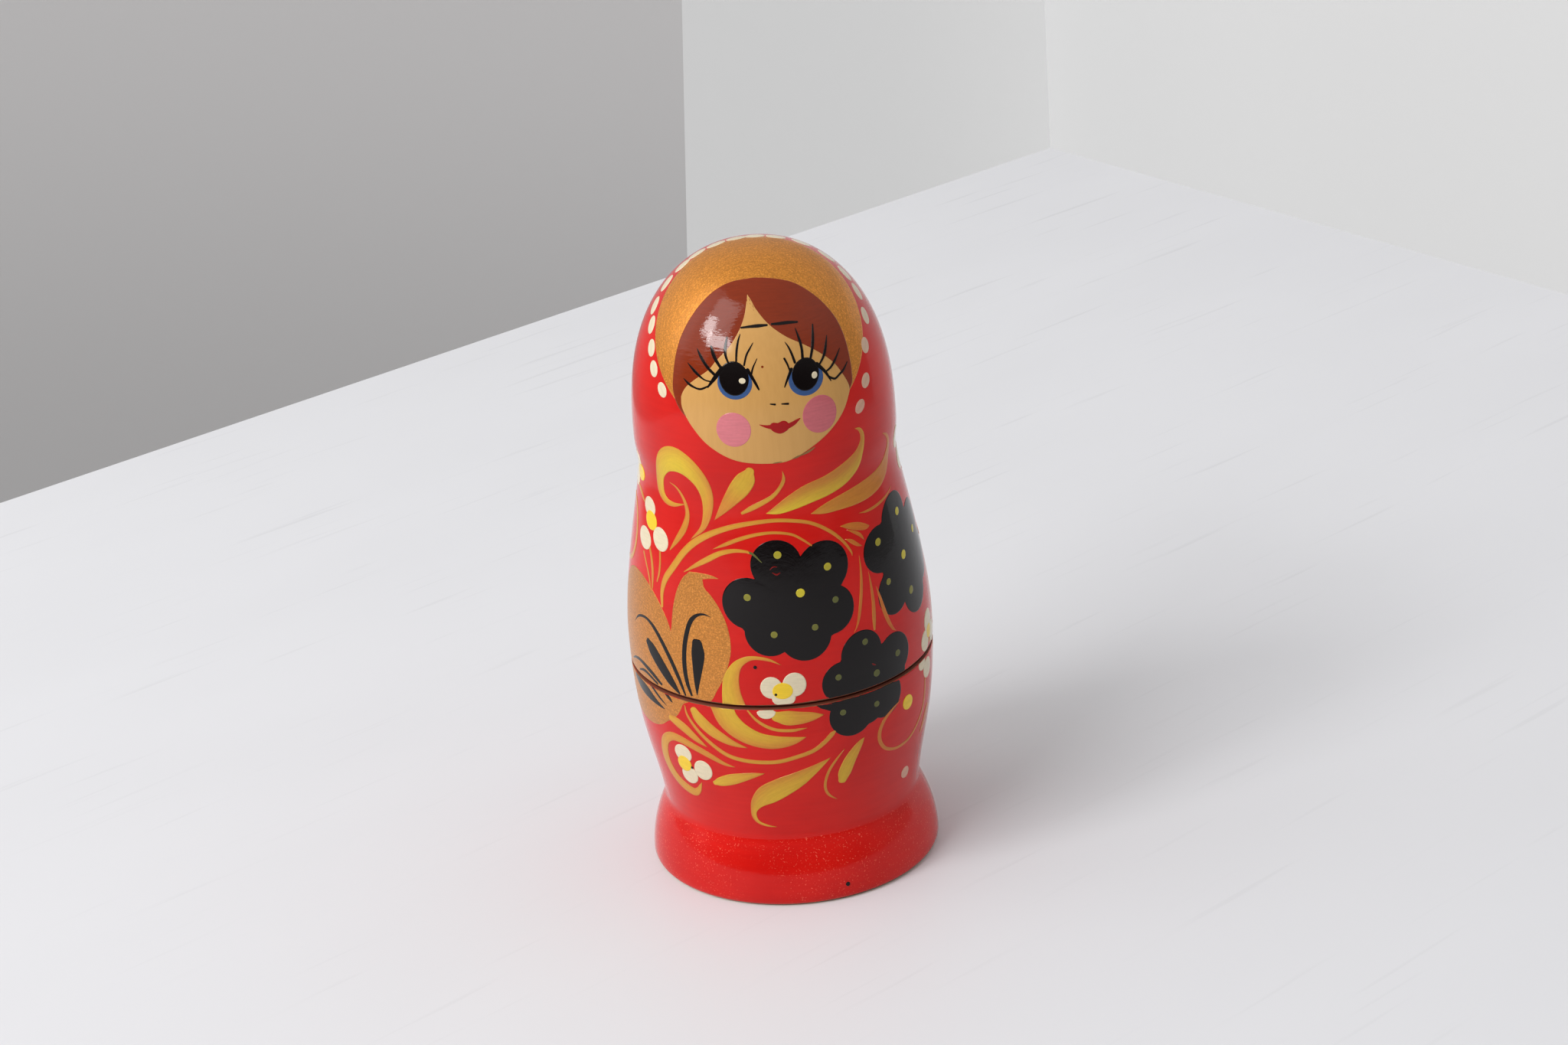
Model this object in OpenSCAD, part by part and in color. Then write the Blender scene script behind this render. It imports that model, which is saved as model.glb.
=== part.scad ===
// Matryoshka: a set of five turned wooden nesting dolls, one inside the other.
// Each split doll is a lower half with a collar and an upper half whose socket slides over that collar.
// The smallest doll is turned whole. The set stands on the foot of the largest doll, facing -Y.

/* [Outline of the largest doll] */
// Height over the head
doll_h = 115; // [95:1:150]
// Widest diameter of the foot
foot_d = 52.2; // [46:0.2:58]
// Radius of the rounded lower edge of the foot
foot_edge = 1.2; // [0.4:0.1:2]
// How far the foot's flank bows out from a straight cone
foot_bow = 0.7; // [0:0.1:1.2]
// Height of the crease between the foot and the body
crease_z = 12; // [9:0.5:16]
// Diameter at the crease
crease_d = 46; // [42:0.2:50]
// Height of the widest point of the belly
belly_z = 44; // [40:0.5:50]
// Diameter of the belly
belly_d = 54.2; // [50:0.2:60]
// Height of the neck
neck_z = 77; // [70:0.5:84]
// Diameter of the neck
neck_d = 45; // [41:0.2:48]
// Height where the head is widest, above the neck
head_rise = 5; // [3:0.5:9]
// Widest diameter of the head
head_d = 45.8; // [42:0.2:52]

/* [Seam] */
// Height of the seam between the two halves
seam_z = 39.5; // [36:0.5:48]
// Gap that shows between the two halves when closed
seam_gap = 0.3; // [0.1:0.05:0.5]
// Bevel on the edges of the seam and the collar
edge_break = 0.25; // [0.1:0.05:0.4]
// Height of the collar on the lower half
collar_h = 7; // [5:0.5:10]
// Wall of the collar, largest doll
collar_t = 1.8; // [1.2:0.1:2.4]
// Wall of the socket that covers the collar, largest doll
lip_t = 2.2; // [1.6:0.1:3]
// Radial clearance between the collar and its socket
fit_gap = 0.1; // [0.05:0.05:0.2]
// Clearance above the collar, inside its socket
collar_top_gap = 0.5; // [0.3:0.1:1]

/* [Hollow] */
// Wall at the neck, largest doll
wall = 3; // [2.4:0.1:3.6]
// How much thinner the wall is on each next smaller doll
wall_step = 0.4; // [0.2:0.05:0.5]
// Thickness of the floor, largest doll
floor_t = 7; // [5:0.5:9]
// Thickness of the roof over the hollow, largest doll
roof_t = 9; // [7:0.5:12]
// Foot diameters of the dolls inside, from the second down to the smallest
inner_foot_d = [38.8, 27.8, 18.9, 11.8];
// Radial clearance round the foot of the doll inside
nest_gap = 0.6; // [0.4:0.1:1]
// Gap under the foot of the doll inside, which stands on the high spots of a turned floor
seat_gap = 0.02; // [0:0.01:0.1]

/* [Hidden] */
// Dolls that come apart in two halves; one more, turned whole, stands in the smallest of them
split_dolls = len(inner_foot_d);
$fn = 96;

// Points on one curved stretch of the outline
curve_steps = 14;
// Points on the dome of the head
dome_steps = 22;
// Slope of the body where it leaves the crease
crease_slope = 0.12;
// Fullness of the dome: 2 is an ellipse, more is squarer
dome_width_power = 2.16;
dome_height_power = 2.47;
// Bezier handles of the body, as shares of the stretch they belong to
belly_pull_down = 0.55;
belly_pull_up = 0.36;
neck_pull = 0.12;
head_pull = 0.4;

paint_red = "#d6221c";

// One Bezier stretch of a profile, from p0 to p3 with handles p1 and p2, without its first point.
function bezier(p0, p1, p2, p3, steps = curve_steps) = [
    for (i = [1:steps])
        let (t = i / steps, u = 1 - t)
        u * u * u * p0 + 3 * u * u * t * p1 + 3 * u * t * t * p2 + t * t * t * p3
];

// Quarter round from the flat of the foot to its widest point.
function foot_edge_points() = [
    for (a = [0:15:90])
        [foot_d / 2 - foot_edge + foot_edge * sin(a), foot_edge * (1 - cos(a))]
];

// Bowed flank of the foot, up to the crease.
function foot_flank_points() =
    let (
        low = [foot_d / 2, foot_edge],
        high = [crease_d / 2, crease_z],
        bow = [4 / 3 * foot_bow, 0],
        third = (high - low) / 3
    )
    bezier(low, low + third + bow, high - third + bow, high, curve_steps / 2);

// Body from the crease over the belly to the neck.
function body_points() =
    let (
        crease = [crease_d / 2, crease_z],
        belly = [belly_d / 2, belly_z],
        neck = [neck_d / 2, neck_z],
        rise = belly_z - crease_z,
        drop = neck_z - belly_z,
        leave = [crease_slope, 1] * rise / 3
    )
    concat(
        bezier(crease, crease + leave, belly - [0, belly_pull_down * rise], belly),
        bezier(belly, belly + [0, belly_pull_up * drop], neck - [0, neck_pull * drop], neck)
    );

// Head from the neck over its widest point to the crown, as a superellipse.
function head_points() =
    let (
        neck = [neck_d / 2, neck_z],
        side_z = neck_z + head_rise,
        side = [head_d / 2, side_z],
        pull = [0, head_pull * head_rise]
    )
    concat(
        bezier(neck, neck + pull, side - pull, side, curve_steps / 2),
        [
            for (i = [1:dome_steps])
                let (a = 90 * i / dome_steps)
                i == dome_steps ? [0, doll_h] : [
                    side[0] * pow(cos(a), 2 / dome_width_power),
                    side_z + (doll_h - side_z) * pow(sin(a), 2 / dome_height_power)
                ]
        ]
    );

// Outside of the largest doll, from the foot's edge to the crown.
outline = concat(foot_edge_points(), foot_flank_points(), body_points(), head_points());

// The same outline as height and radius, to read a radius at a height.
outline_heights = [for (p = outline) [p[1], p[0]]];
function outline_r(z) = lookup(z, outline_heights);

// How much thinner a wall of doll n is than that of the largest doll.
function thinning(n) = (wall - (n - 1) * wall_step) / wall;

// Radius of the bore at the floor of doll n: the foot of the doll inside it, and the clearance round it.
function bore_r(n) = inner_foot_d[n - 1] / 2 + nest_gap;

// Size of doll n against the largest, from their feet.
function size(n) = n == 1 ? 1 : inner_foot_d[n - 2] / foot_d;

// Height at which doll n stands: on the floor of every doll outside it.
function stand_z(n) = n == 1 ? 0 : stand_z(n - 1) + floor_t * size(n - 1) + seat_gap;

// Socket of the upper half and collar of the lower half share one radius and one clearance.
function socket_r(n) = outline_r(seam_z) * size(n) - lip_t * thinning(n);
function collar_r(n) = socket_r(n) - fit_gap;
function collar_bore_r(n) = collar_r(n) - collar_t * thinning(n);

// Lower half of doll n: foot, body up to the seam, and the collar round the bore.
function lower_profile(n) =
    let (
        k = size(n),
        seam = seam_z * k,
        seam_r = outline_r(seam_z) * k,
        collar_top = (seam_z + collar_h) * k
    )
    concat(
        [[0, 0]],
        [for (p = outline) if (p[1] * k < seam - edge_break) p * k],
        [
            [outline_r(seam_z - edge_break / k) * k, seam - edge_break],
            [seam_r - edge_break, seam],
            [collar_r(n), seam],
            [collar_r(n), collar_top - edge_break],
            [collar_r(n) - edge_break, collar_top],
            [collar_bore_r(n) + edge_break, collar_top],
            [collar_bore_r(n), collar_top - edge_break],
            [collar_bore_r(n), seam],
            [bore_r(n), floor_t * k],
            [0, floor_t * k]
        ]
    );

// Hollow of the upper half of doll n, from the crown of the hollow down to the end of the socket.
function hollow_points(n) =
    let (
        k = size(n),
        head_r = min(neck_d, head_d) / 2 * k - wall * thinning(n),
        side_z = (neck_z + head_rise) * k,
        crown_z = (doll_h - roof_t) * k,
        socket_end = (seam_z + collar_h) * k + collar_top_gap
    )
    concat(
        [
            for (i = [0:dome_steps / 2])
                let (a = 90 - 90 * i / (dome_steps / 2))
                [i == 0 ? 0 : head_r * cos(a), side_z + (crown_z - side_z) * sin(a)]
        ],
        bezier(
            [head_r, side_z],
            [head_r, side_z - (side_z - socket_end) / 3],
            [collar_bore_r(n), socket_end + (side_z - socket_end) / 3],
            [collar_bore_r(n), socket_end],
            curve_steps / 2
        )
    );

// Upper half of doll n: the dome and shoulders, the hollow, and the socket that slides over the collar.
function upper_profile(n) =
    let (
        k = size(n),
        rim = seam_z * k + seam_gap,
        socket_end = (seam_z + collar_h) * k + collar_top_gap
    )
    concat(
        [
            [outline_r(rim / k) * k - edge_break, rim],
            [outline_r((rim + edge_break) / k) * k, rim + edge_break]
        ],
        [for (p = outline) if (p[1] * k > rim + edge_break) p * k],
        hollow_points(n),
        [
            [socket_r(n), socket_end],
            [socket_r(n), rim + edge_break],
            [socket_r(n) + edge_break, rim]
        ]
    );

module lower_half(n) {
    color(paint_red)
        translate([0, 0, stand_z(n)])
            rotate_extrude()
                polygon(lower_profile(n));
}

module upper_half(n) {
    color(paint_red)
        translate([0, 0, stand_z(n)])
            rotate_extrude()
                polygon(upper_profile(n));
}

module whole_doll(n) {
    color(paint_red)
        translate([0, 0, stand_z(n)])
            rotate_extrude()
                polygon(concat([[0, 0]], outline * size(n)));
}

lower_half(1);  // doll_1_lower
upper_half(1);  // doll_1_upper
lower_half(2);  // doll_2_lower
upper_half(2);  // doll_2_upper
lower_half(3);  // doll_3_lower
upper_half(3);  // doll_3_upper
lower_half(4);  // doll_4_lower
upper_half(4);  // doll_4_upper
whole_doll(5);  // doll_5_whole
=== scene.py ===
"""Looks of a set of five painted nesting dolls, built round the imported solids.

The solids keep their bare lime wood. Every outside gets a coat of red lacquer, and on it the ornament: thin
closed films of paint that follow the turned outline. A place on a doll is written as (a, v): a is the
distance round from the front line, to the viewer's right, and v the distance up along the outline from the
foot, both in millimetres on the largest doll. The smaller dolls carry the same ornament at their own size.
"""

import copy
import math

import bpy
import numpy as np
from bpy.props import FloatProperty, FloatVectorProperty, PointerProperty
from mathutils import Matrix, Vector


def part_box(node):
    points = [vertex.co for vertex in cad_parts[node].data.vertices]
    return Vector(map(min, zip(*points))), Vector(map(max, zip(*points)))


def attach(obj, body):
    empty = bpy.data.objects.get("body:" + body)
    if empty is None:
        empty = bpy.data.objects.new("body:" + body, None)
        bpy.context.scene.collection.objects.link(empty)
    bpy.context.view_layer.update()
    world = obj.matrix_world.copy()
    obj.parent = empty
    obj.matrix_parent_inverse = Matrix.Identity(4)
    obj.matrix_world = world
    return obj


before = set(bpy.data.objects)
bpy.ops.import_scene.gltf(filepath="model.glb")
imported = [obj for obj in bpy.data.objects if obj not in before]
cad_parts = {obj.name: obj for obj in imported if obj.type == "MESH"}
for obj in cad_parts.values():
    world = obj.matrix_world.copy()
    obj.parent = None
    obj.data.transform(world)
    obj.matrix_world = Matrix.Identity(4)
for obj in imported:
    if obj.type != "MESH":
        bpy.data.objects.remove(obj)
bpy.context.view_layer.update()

bl_info = {
    "name": "Nesting doll paint",
    "version": (1, 0, 0),
    "blender": (4, 5, 0),
    "location": "View3D > Sidebar > Dolls",
    "description": "Paints a set of turned nesting dolls and sets them on a table",
    "category": "Object",
}

MM = 0.001
PHOTO_SIZE = (2048, 1365)
# Mirror strength of the clear lacquer over all the paint, and over the hair, where brush marks show in it.
GLOSS = 0.24
HAIR_GLOSS = 1.45 * GLOSS
HAIR_RIDGES = 1.6
# Layers of paint over the red coat: metal paint, dark fields, light strokes and bare wood, spots, the spots'
# centres, and fine lines.
METAL, DARK, LIGHT, SPOT, CENTRE, FINE = range(1, 7)
# Height of a film's underside in the red coat, as a share of the coat.
UNDERSIDE = 0.3
# Limits along the outline of a film that no seam cuts, and how far a film stays from a seam's rim.
NO_SEAM = (0, 200)
RIM_MARGIN = 0.1


def linear(red, green, blue):
    """Colour of a screen value from 0 to 255, as the linear light that a shader uses."""
    share = np.array([red, green, blue]) / 255
    return tuple(np.where(share <= 0.04045, share / 12.92, ((share + 0.055) / 1.055) ** 2.4))


def length(name, description, millimetres):
    """A length that a user can change, given in millimetres."""
    default = millimetres * MM
    return FloatProperty(name=name, description=description, default=default, unit="LENGTH", precision=5)


def colour(name, description, *screen):
    """A colour that a user can change, given as screen values."""
    default = linear(*screen)
    return FloatVectorProperty(name=name, description=description, default=default, subtype="COLOR", size=3)


class DollForm(bpy.types.PropertyGroup):
    """Turned outline of the largest doll, as in the solids."""

    doll_h: FloatProperty(
        name="Height",
        description="Height over the head",
        default=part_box("doll_1_upper")[1].z,
        unit="LENGTH",
    )
    foot_d: length("Foot", "Widest diameter of the foot", 52.2)
    foot_edge: length("Foot edge", "Radius of the rounded lower edge of the foot", 1.2)
    foot_bow: length("Foot bow", "How far the foot's flank bows out", 0.7)
    crease_z: length("Crease height", "Height of the crease over the foot", 12)
    crease_d: length("Crease", "Diameter at the crease", 46)
    belly_z: length("Belly height", "Height of the widest point of the belly", 44)
    belly_d: length("Belly", "Diameter of the belly", 54.2)
    neck_z: length("Neck height", "Height of the neck", 77)
    neck_d: length("Neck", "Diameter of the neck", 45)
    head_rise: length("Head rise", "Height of the widest point of the head above the neck", 5)
    head_d: length("Head", "Widest diameter of the head", 45.8)
    seam_z: length("Seam height", "Height of the seam between the halves", 39.5)
    seam_gap: length("Seam gap", "Gap that shows between the halves", 0.3)
    edge_break: length("Edge break", "Bevel on the edges of the seam", 0.25)


class DollPaint(bpy.types.PropertyGroup):
    """Thickness and colours of the paint."""

    coat: length("Red coat", "Height of the red coat over the turned wood", 0.08)
    layer: length("Layer", "Height that each layer of ornament adds", 0.016)
    crown: length("Crown", "How far the middle of a stroke stands above its edges", 0.012)
    red: colour("Red", "Lacquer of the dress and kerchief", 204, 20, 15)
    ochre: colour("Ochre", "Dark ends of the scrolls", 198, 126, 50)
    straw: colour("Straw", "Bright parts of the scrolls", 212, 181, 52)
    yellow: colour("Yellow", "Middles of the flowers", 234, 196, 50)
    bronze: colour("Bronze", "Metal paint of the leaf", 200, 130, 58)
    gold: colour("Gold", "Metal paint of the kerchief's band", 211, 136, 52)
    black: colour("Black", "Berries, veins and lashes", 17, 12, 12)
    white: colour("White", "Petals and kerchief dots", 220, 206, 176)
    olive: colour("Olive", "Dull dots on the berries", 94, 96, 50)
    lime: colour("Lime", "Bright dots on the berries", 205, 188, 52)
    hair: colour("Hair", "Brown of the hair", 127, 42, 10)
    face: colour("Face", "Bare wood of the face under lacquer", 202, 153, 89)
    cheek: colour("Cheek", "Pink of the cheeks", 208, 118, 126)
    iris: colour("Iris", "Blue under the eyes' black", 60, 86, 132)
    lips: colour("Lips", "Red of the lips", 158, 6, 10)
    wood: colour("Wood", "Bare lime wood inside", 222, 190, 142)


class TableStage(bpy.types.PropertyGroup):
    """Table, walls and light round the doll."""

    table: colour("Table", "White table top", 227, 227, 230)
    left_wall: colour("Left wall", "Grey wall", 200, 198, 198)
    back_wall: colour("Back wall", "White wall in its own shade", 222, 222, 222)
    right_wall: colour("Right wall", "White wall", 225, 225, 225)
    window: FloatProperty(name="Window", description="Power of the window light in watts", default=18.4)
    room: FloatProperty(name="Room", description="Strength of the light from the room", default=0.61)


# Scrolls of the upper half: (a, v, width) along each stroke, then its tone from the start to the end, where
# 1 is the bright colour, 0 the dark one and less is paint so thin that the red shows through, and how far
# one side is brighter.
UPPER_SCROLLS = (
    (((-15.1, 70.6, 0), (-12.2, 73.4, 1.1), (-11.1, 77.5, 2.2), (-12, 81, 3), (-14.5, 83.6, 3.9),
      (-17.5, 84.6, 4.7), (-20, 83.6, 4.2), (-21.6, 80.8, 2.4), (-21.8, 78, 1.9), (-20.6, 76.4, 1.3),
      (-18.5, 76, 0.8), (-15.6, 76.6, 0)), (0, 0.1, 0.5, 0.9, 0.8, 0.4, 0.1), 0.3),
    (((-19.3, 79.9, 0), (-17.5, 79.2, 0.35), (-16, 77.4, 0.6), (-15.4, 75, 0.9), (-16.3, 72.5, 1.2),
      (-18, 70.2, 1), (-20, 67.9, 0.2)), (0.1, 0.1, 0.1), 0),
    (((-10.1, 74.6, 0), (-8.4, 76.6, 1.5), (-6.9, 78.4, 2.6), (-5.2, 80.5, 3.6), (-3.9, 82.4, 3.3),
      (-3.2, 83.7, 1.6)), (-0.1, 0.1, 0.7, 0.6), 0),
    (((-22.9, 57.4, 0.6), (-22.7, 60, 0.9), (-21.6, 62.5, 1.2), (-19.5, 65, 1.2), (-16.5, 68.4, 1.2),
      (-13.5, 70.8, 1.2), (-9.5, 72.8, 1), (-5, 74.1, 0.85), (0, 74.6, 0.7), (4, 74.1, 0.65), (7, 73.1, 0.6),
      (10, 71.1, 0.6), (12.2, 68.9, 0.5), (13.6, 66.8, 0.35), (13.8, 65.9, 0)), (0.25, 0.35, 0.2, -0.1), 0),
    (((-10.9, 69.5, 0), (-8.5, 70.5, 0.6), (-6, 71.5, 0.7), (-3, 72.3, 0.6), (0, 72.5, 0.5), (3, 71.9, 0.45),
      (5, 70.6, 0.4), (6.3, 69.5, 0.3)), (0.1, 0.25, -0.2), 0),
    (((-17, 64.7, 0.1), (-14.5, 66.2, 0.7), (-12, 67.6, 1), (-9.5, 68.9, 0.9), (-7, 69.5, 0.7),
      (-5, 69.4, 0.5), (-4.4, 69.2, 0.4)), (0.15, 0.4, 0.2), 0),
    (((-28.4, 65.2, 0.45), (-27.2, 63, 0.45), (-26.4, 61, 0.45), (-26.2, 59.2, 0.3)), (0, 0, -0.1), 0),
    (((-26.1, 66.7, 0.6), (-25.5, 64.8, 0.7), (-25.3, 62.5, 0.7), (-25.6, 59.8, 0.4)), (0, 0, -0.1), 0),
    (((-22.8, 67, 0.45), (-22.9, 65, 0.45), (-23.3, 63, 0.45), (-24, 61.4, 0.3)), (0, 0, -0.1), 0),
    (((-32, 75.6, 0.5), (-30, 75, 0.9), (-28.3, 74, 0.5)), (0.1, 0.1, 0.1), 0),
    (((-40.5, 60.5, 0.5), (-36, 61.8, 0.9), (-33.5, 64, 0.9), (-32.2, 67, 0.9), (-32.3, 70, 0.9),
      (-33.5, 72, 0.9), (-36, 73, 0.3)), (0.2, 0.2, 0.2), 0),
    (((-1, 75.9, 0), (1, 76.4, 1.6), (3.5, 77.4, 2.8), (6.5, 78.5, 3.6), (10, 79.3, 3.8), (13.2, 80.4, 3.9),
      (15.6, 81.8, 3.3), (17.1, 83.5, 1.9), (17.95, 85.2, 1.1), (18, 86.5, 0.9), (17.4, 87.5, 0.6),
      (16.4, 87.9, 0)), (0.7, 0.5, 0.35, 0.2, 0), -0.7),
    (((6.6, 74.9, 0), (9, 75.2, 1.6), (12, 75.6, 2.5), (15.5, 75.9, 3.2), (19, 76.3, 3.5), (22, 77, 3.3),
      (24.3, 78.3, 2.6), (25.7, 80.2, 1.6), (26.2, 82, 1.1), (25.6, 83.5, 0.8), (24, 84.5, 0)),
     (0.05, 0, -0.05, -0.1, -0.25), -0.3),
    (((-5, 76.1, 0.5), (-3.4, 76.9, 0.9), (-1.5, 77.8, 0.9), (0.3, 78.8, 0.75), (1.6, 80.2, 0.65),
      (2.4, 81.8, 0.6), (2.3, 83.5, 0)), (0.3, 0.4, 0.1), 0),
    (((15.2, 65.8, 0), (15.3, 63, 0.4), (15.1, 60, 0.6), (14.5, 56.5, 0.6), (13.8, 54, 0.4), (12.9, 52.5, 0)),
     (-0.3, -0.2, -0.4), 0),
    (((16.9, 62.4, 0), (17.2, 60, 0.4), (17.4, 57, 0.7), (17.3, 54, 0.8), (17.2, 52, 0.4)),
     (-0.3, -0.3, 0), 0),
    (((18.3, 59.4, 0), (18.9, 57.5, 0.5), (19.6, 55, 0.8), (20.5, 52.5, 0.8), (21.5, 50.7, 0.5),
      (22.4, 49.9, 0)),
     (-0.3, -0.2, -0.4), 0),
    (((11.8, 71.6, 0), (13.5, 71.2, 1), (15.5, 70.6, 1.4), (17.2, 70, 1), (18.2, 69.9, 0)),
     (-0.1, -0.2, -0.3), 0),
    (((13, 70.7, 0), (14.5, 69.9, 0.5), (15.8, 69, 0.6), (16.7, 67.8, 0)), (-0.2, -0.2, -0.3), 0),
    (((12.6, 69.2, 0), (13.8, 68.5, 0.7), (15, 67.6, 0.6), (16.1, 67, 0)), (-0.2, -0.2, -0.3), 0),
    (((15.9, 72.7, 0), (18, 72.5, 0.45), (21, 72.7, 0.5), (24, 73.3, 0.4), (26, 74.2, 0)),
     (-0.2, -0.1, -0.3), 0),
    (((-9.2, 41.2, 4.4), (-9.5, 44, 3.5), (-9.3, 46.5, 2.9), (-8.3, 48.8, 1.9), (-6.8, 50.1, 1.2),
      (-5, 50.6, 0.7), (-2.5, 50.2, 0.5), (-0.3, 49.1, 0)), (0.6, 0.5, 0), 0.3),
    (((34.6, 42.7, 0.4), (37.5, 43.1, 1.5), (41, 42.8, 2)), (0.5, 0.3, 0.2), 0),
)
LOWER_SCROLLS = (
    (((-11.6, 41.2, 4.4), (-10.6, 38.6, 4.2), (-8.4, 36.4, 3.7), (-5.5, 34.9, 3.1), (-2.5, 34.3, 2.7),
      (0.5, 34.4, 1.7), (3, 34.9, 0)), (0.6, 0.5, 0.2), 0.3),
    (((-17.2, 39.2, 1.6), (-16.2, 37.8, 2.3), (-14.2, 36.1, 2.3), (-12, 34.8, 1.9), (-9.8, 33.8, 1.1),
      (-7.3, 33.1, 0)), (0.6, 0.4, 0.1), 0),
    (((-23, 36.2, 1.3), (-21.5, 35.8, 1.9), (-19.5, 34.9, 1.9), (-17.3, 33.5, 1.3), (-15, 32.2, 0)),
     (0.4, 0.3, 0.1), 0),
    (((-19.2, 39.8, 0.2), (-18.8, 38, 0.5), (-17, 35.6, 0.7), (-14.5, 33.4, 0.75), (-11.5, 31.4, 0.8),
      (-8.5, 30.5, 0.8), (-5, 30.2, 0.8), (-2, 30.3, 0.8), (1, 31, 0.8), (4, 31.9, 0.8), (6, 33.2, 0.85),
      (7.5, 34.6, 0.9), (8, 35, 0.5)), (0.1, 0.3, 0.2), 0),
    (((-6.8, 40.6, 0.3), (-5.6, 39, 0.5), (-4, 37.7, 0.6), (-2, 36.8, 0.6), (0.5, 36.5, 0.6), (2, 36.6, 0.4),
      (3.3, 36.7, 0)), (0.2, 0.3, 0.1), 0),
    (((-1.8, 39.4, 2), (0, 39, 2.9), (2.2, 38.8, 2.5), (4.3, 38.8, 1.7), (6.4, 38.8, 0)), (0.8, 0.3, 0.2), 0),
    (((-9.9, 28.8, 0), (-12, 29.3, 0.7), (-15, 30.6, 1.2), (-18, 31.6, 1.4), (-21, 32.3, 1.6),
      (-23.5, 32.2, 1.8), (-25.5, 30.8, 2.1), (-26.4, 28.5, 2.3), (-26.3, 26, 2.4), (-25.2, 23.9, 2.3),
      (-23.3, 22.2, 2.1), (-21, 21.2, 2), (-19.2, 21, 1.8), (-18.2, 21.8, 1.2), (-17.6, 23, 0.6),
      (-17.2, 23.9, 0)), (0, 0.3, 0.25), 0),
    (((-14.2, 24.6, 1), (-13, 25.1, 2), (-10.8, 26, 2.4), (-8.5, 26.8, 1.8), (-6.5, 27.4, 1),
      (-4.7, 27.8, 0)),
     (0.7, 0.5, 0.2), 0),
    (((7, 29.9, 0), (4, 28, 1.8), (1, 26.2, 3.4), (-2, 24.6, 4.3), (-4.6, 23, 4.3), (-6.4, 21.2, 2.6),
      (-7.2, 19.4, 1.2), (-7.2, 18, 0.9), (-6.5, 16.8, 0.6), (-5, 16.1, 0.4), (-3.3, 15.8, 0)),
     (0.3, 0.6, 0.2), 0.3),
    (((8.9, 24.5, 1.6), (9.4, 26, 2.5), (10.5, 28.3, 2.4), (11.8, 30.2, 1.8), (12.9, 31.5, 1),
      (13.5, 32.1, 0.2)),
     (0.7, 0.6, 0.2), 0),
    (((9.8, 31.2, 0), (8, 29.2, 0.4), (6.6, 27.2, 0.5), (5.8, 25, 0.5), (5.7, 23.2, 0.5), (6.3, 21.7, 0.45),
      (7.8, 20.3, 0)), (0, 0.1, 0), 0),
    (((22.7, 36.6, 0), (20.5, 35.7, 0.4), (18.3, 34.3, 0.7), (17, 32.3, 0.8), (16.9, 30.2, 0.8),
      (18, 28.2, 0.7), (20, 27.1, 0.6), (22.3, 26.8, 0.6), (25, 27.2, 0.6), (28, 28.9, 0.6),
      (30.3, 31.3, 0.7), (31.3, 34, 0.8), (31.4, 36.5, 0.6)), (-0.25, -0.1, -0.3), 0),
    (((29.5, 26, 0.5), (31.5, 27.8, 2), (33, 29.5, 2.4)), (-0.3, -0.3, -0.3), 0),
)

# Berries: the round lobes of each as (a, v, radius), its middle, and its dots as (a, v, radius, brightness).
# None of them reaches farther from its middle than this.
BERRY_REACH = 9
UPPER_BERRIES = (
    (((2.5, 60.5, 7.4), (0, 66.9, 4.4), (-5.3, 60.3, 4.6), (8.2, 65.3, 4.7), (9, 57.7, 4.4),
      (-1.9, 55.2, 4.4), (4.2, 54, 4.6)),
     (2.5, 60.5),
     ((0.4, 68.6, 0.7, 0.52), (8.9, 65.3, 0.7, 0.58), (3.8, 61.6, 0.8, 0.94), (-5.3, 61.4, 0.65, 0.26),
      (9.9, 59.3, 0.6, 0), (5.9, 55.2, 0.6, 0.08), (-1.2, 54.7, 0.62, 0.19))),
    (((27, 61.8, 6.8), (20.2, 65.2, 4.1), (25.6, 68.8, 4.4), (32.6, 64.8, 4.6), (34.5, 59, 4.5),
      (30, 55, 4.5), (22.8, 57, 4.2)),
     (27, 61.8),
     ((26.7, 69.4, 0.72, 0.86), (19.8, 66.5, 0.7, 0.52), (26.9, 61.8, 0.82, 1), (21.5, 59, 0.6, 0.24),
      (28.1, 55.1, 0.75, 0.24), (33, 64, 0.7, 0.86))),
    (((15.8, 44.2, 5.4), (14.3, 48.5, 4.2), (10.2, 44.2, 3.9), (21.5, 45.8, 4.1), (13.7, 38.5, 4.3),
      (20.7, 39.8, 4.2)),
     (15.8, 44.2),
     ((15, 50.4, 0.6, 0), (9.4, 45.3, 0.6, 0), (22.3, 45.8, 0.65, 0), (17, 43.9, 0.7, 0))),
)
LOWER_BERRIES = (
    (((14.4, 39.6, 5), (8, 43.3, 3.9), (19.3, 44.9, 4.1), (11.5, 37.6, 4.3), (18.5, 38.9, 4.2)), (14.4, 39.6),
     ((9.8, 38.4, 0.6, 0), (16.6, 38, 0.6, 0))),
)
# Stem that the scroll beside it leaves on the large berry, as (a, v, width).
BERRY_STEM = ((-4.8, 69.35, 0.4), (-3.7, 68.9, 0.4), (-2.4, 67.5, 0.15))

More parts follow.
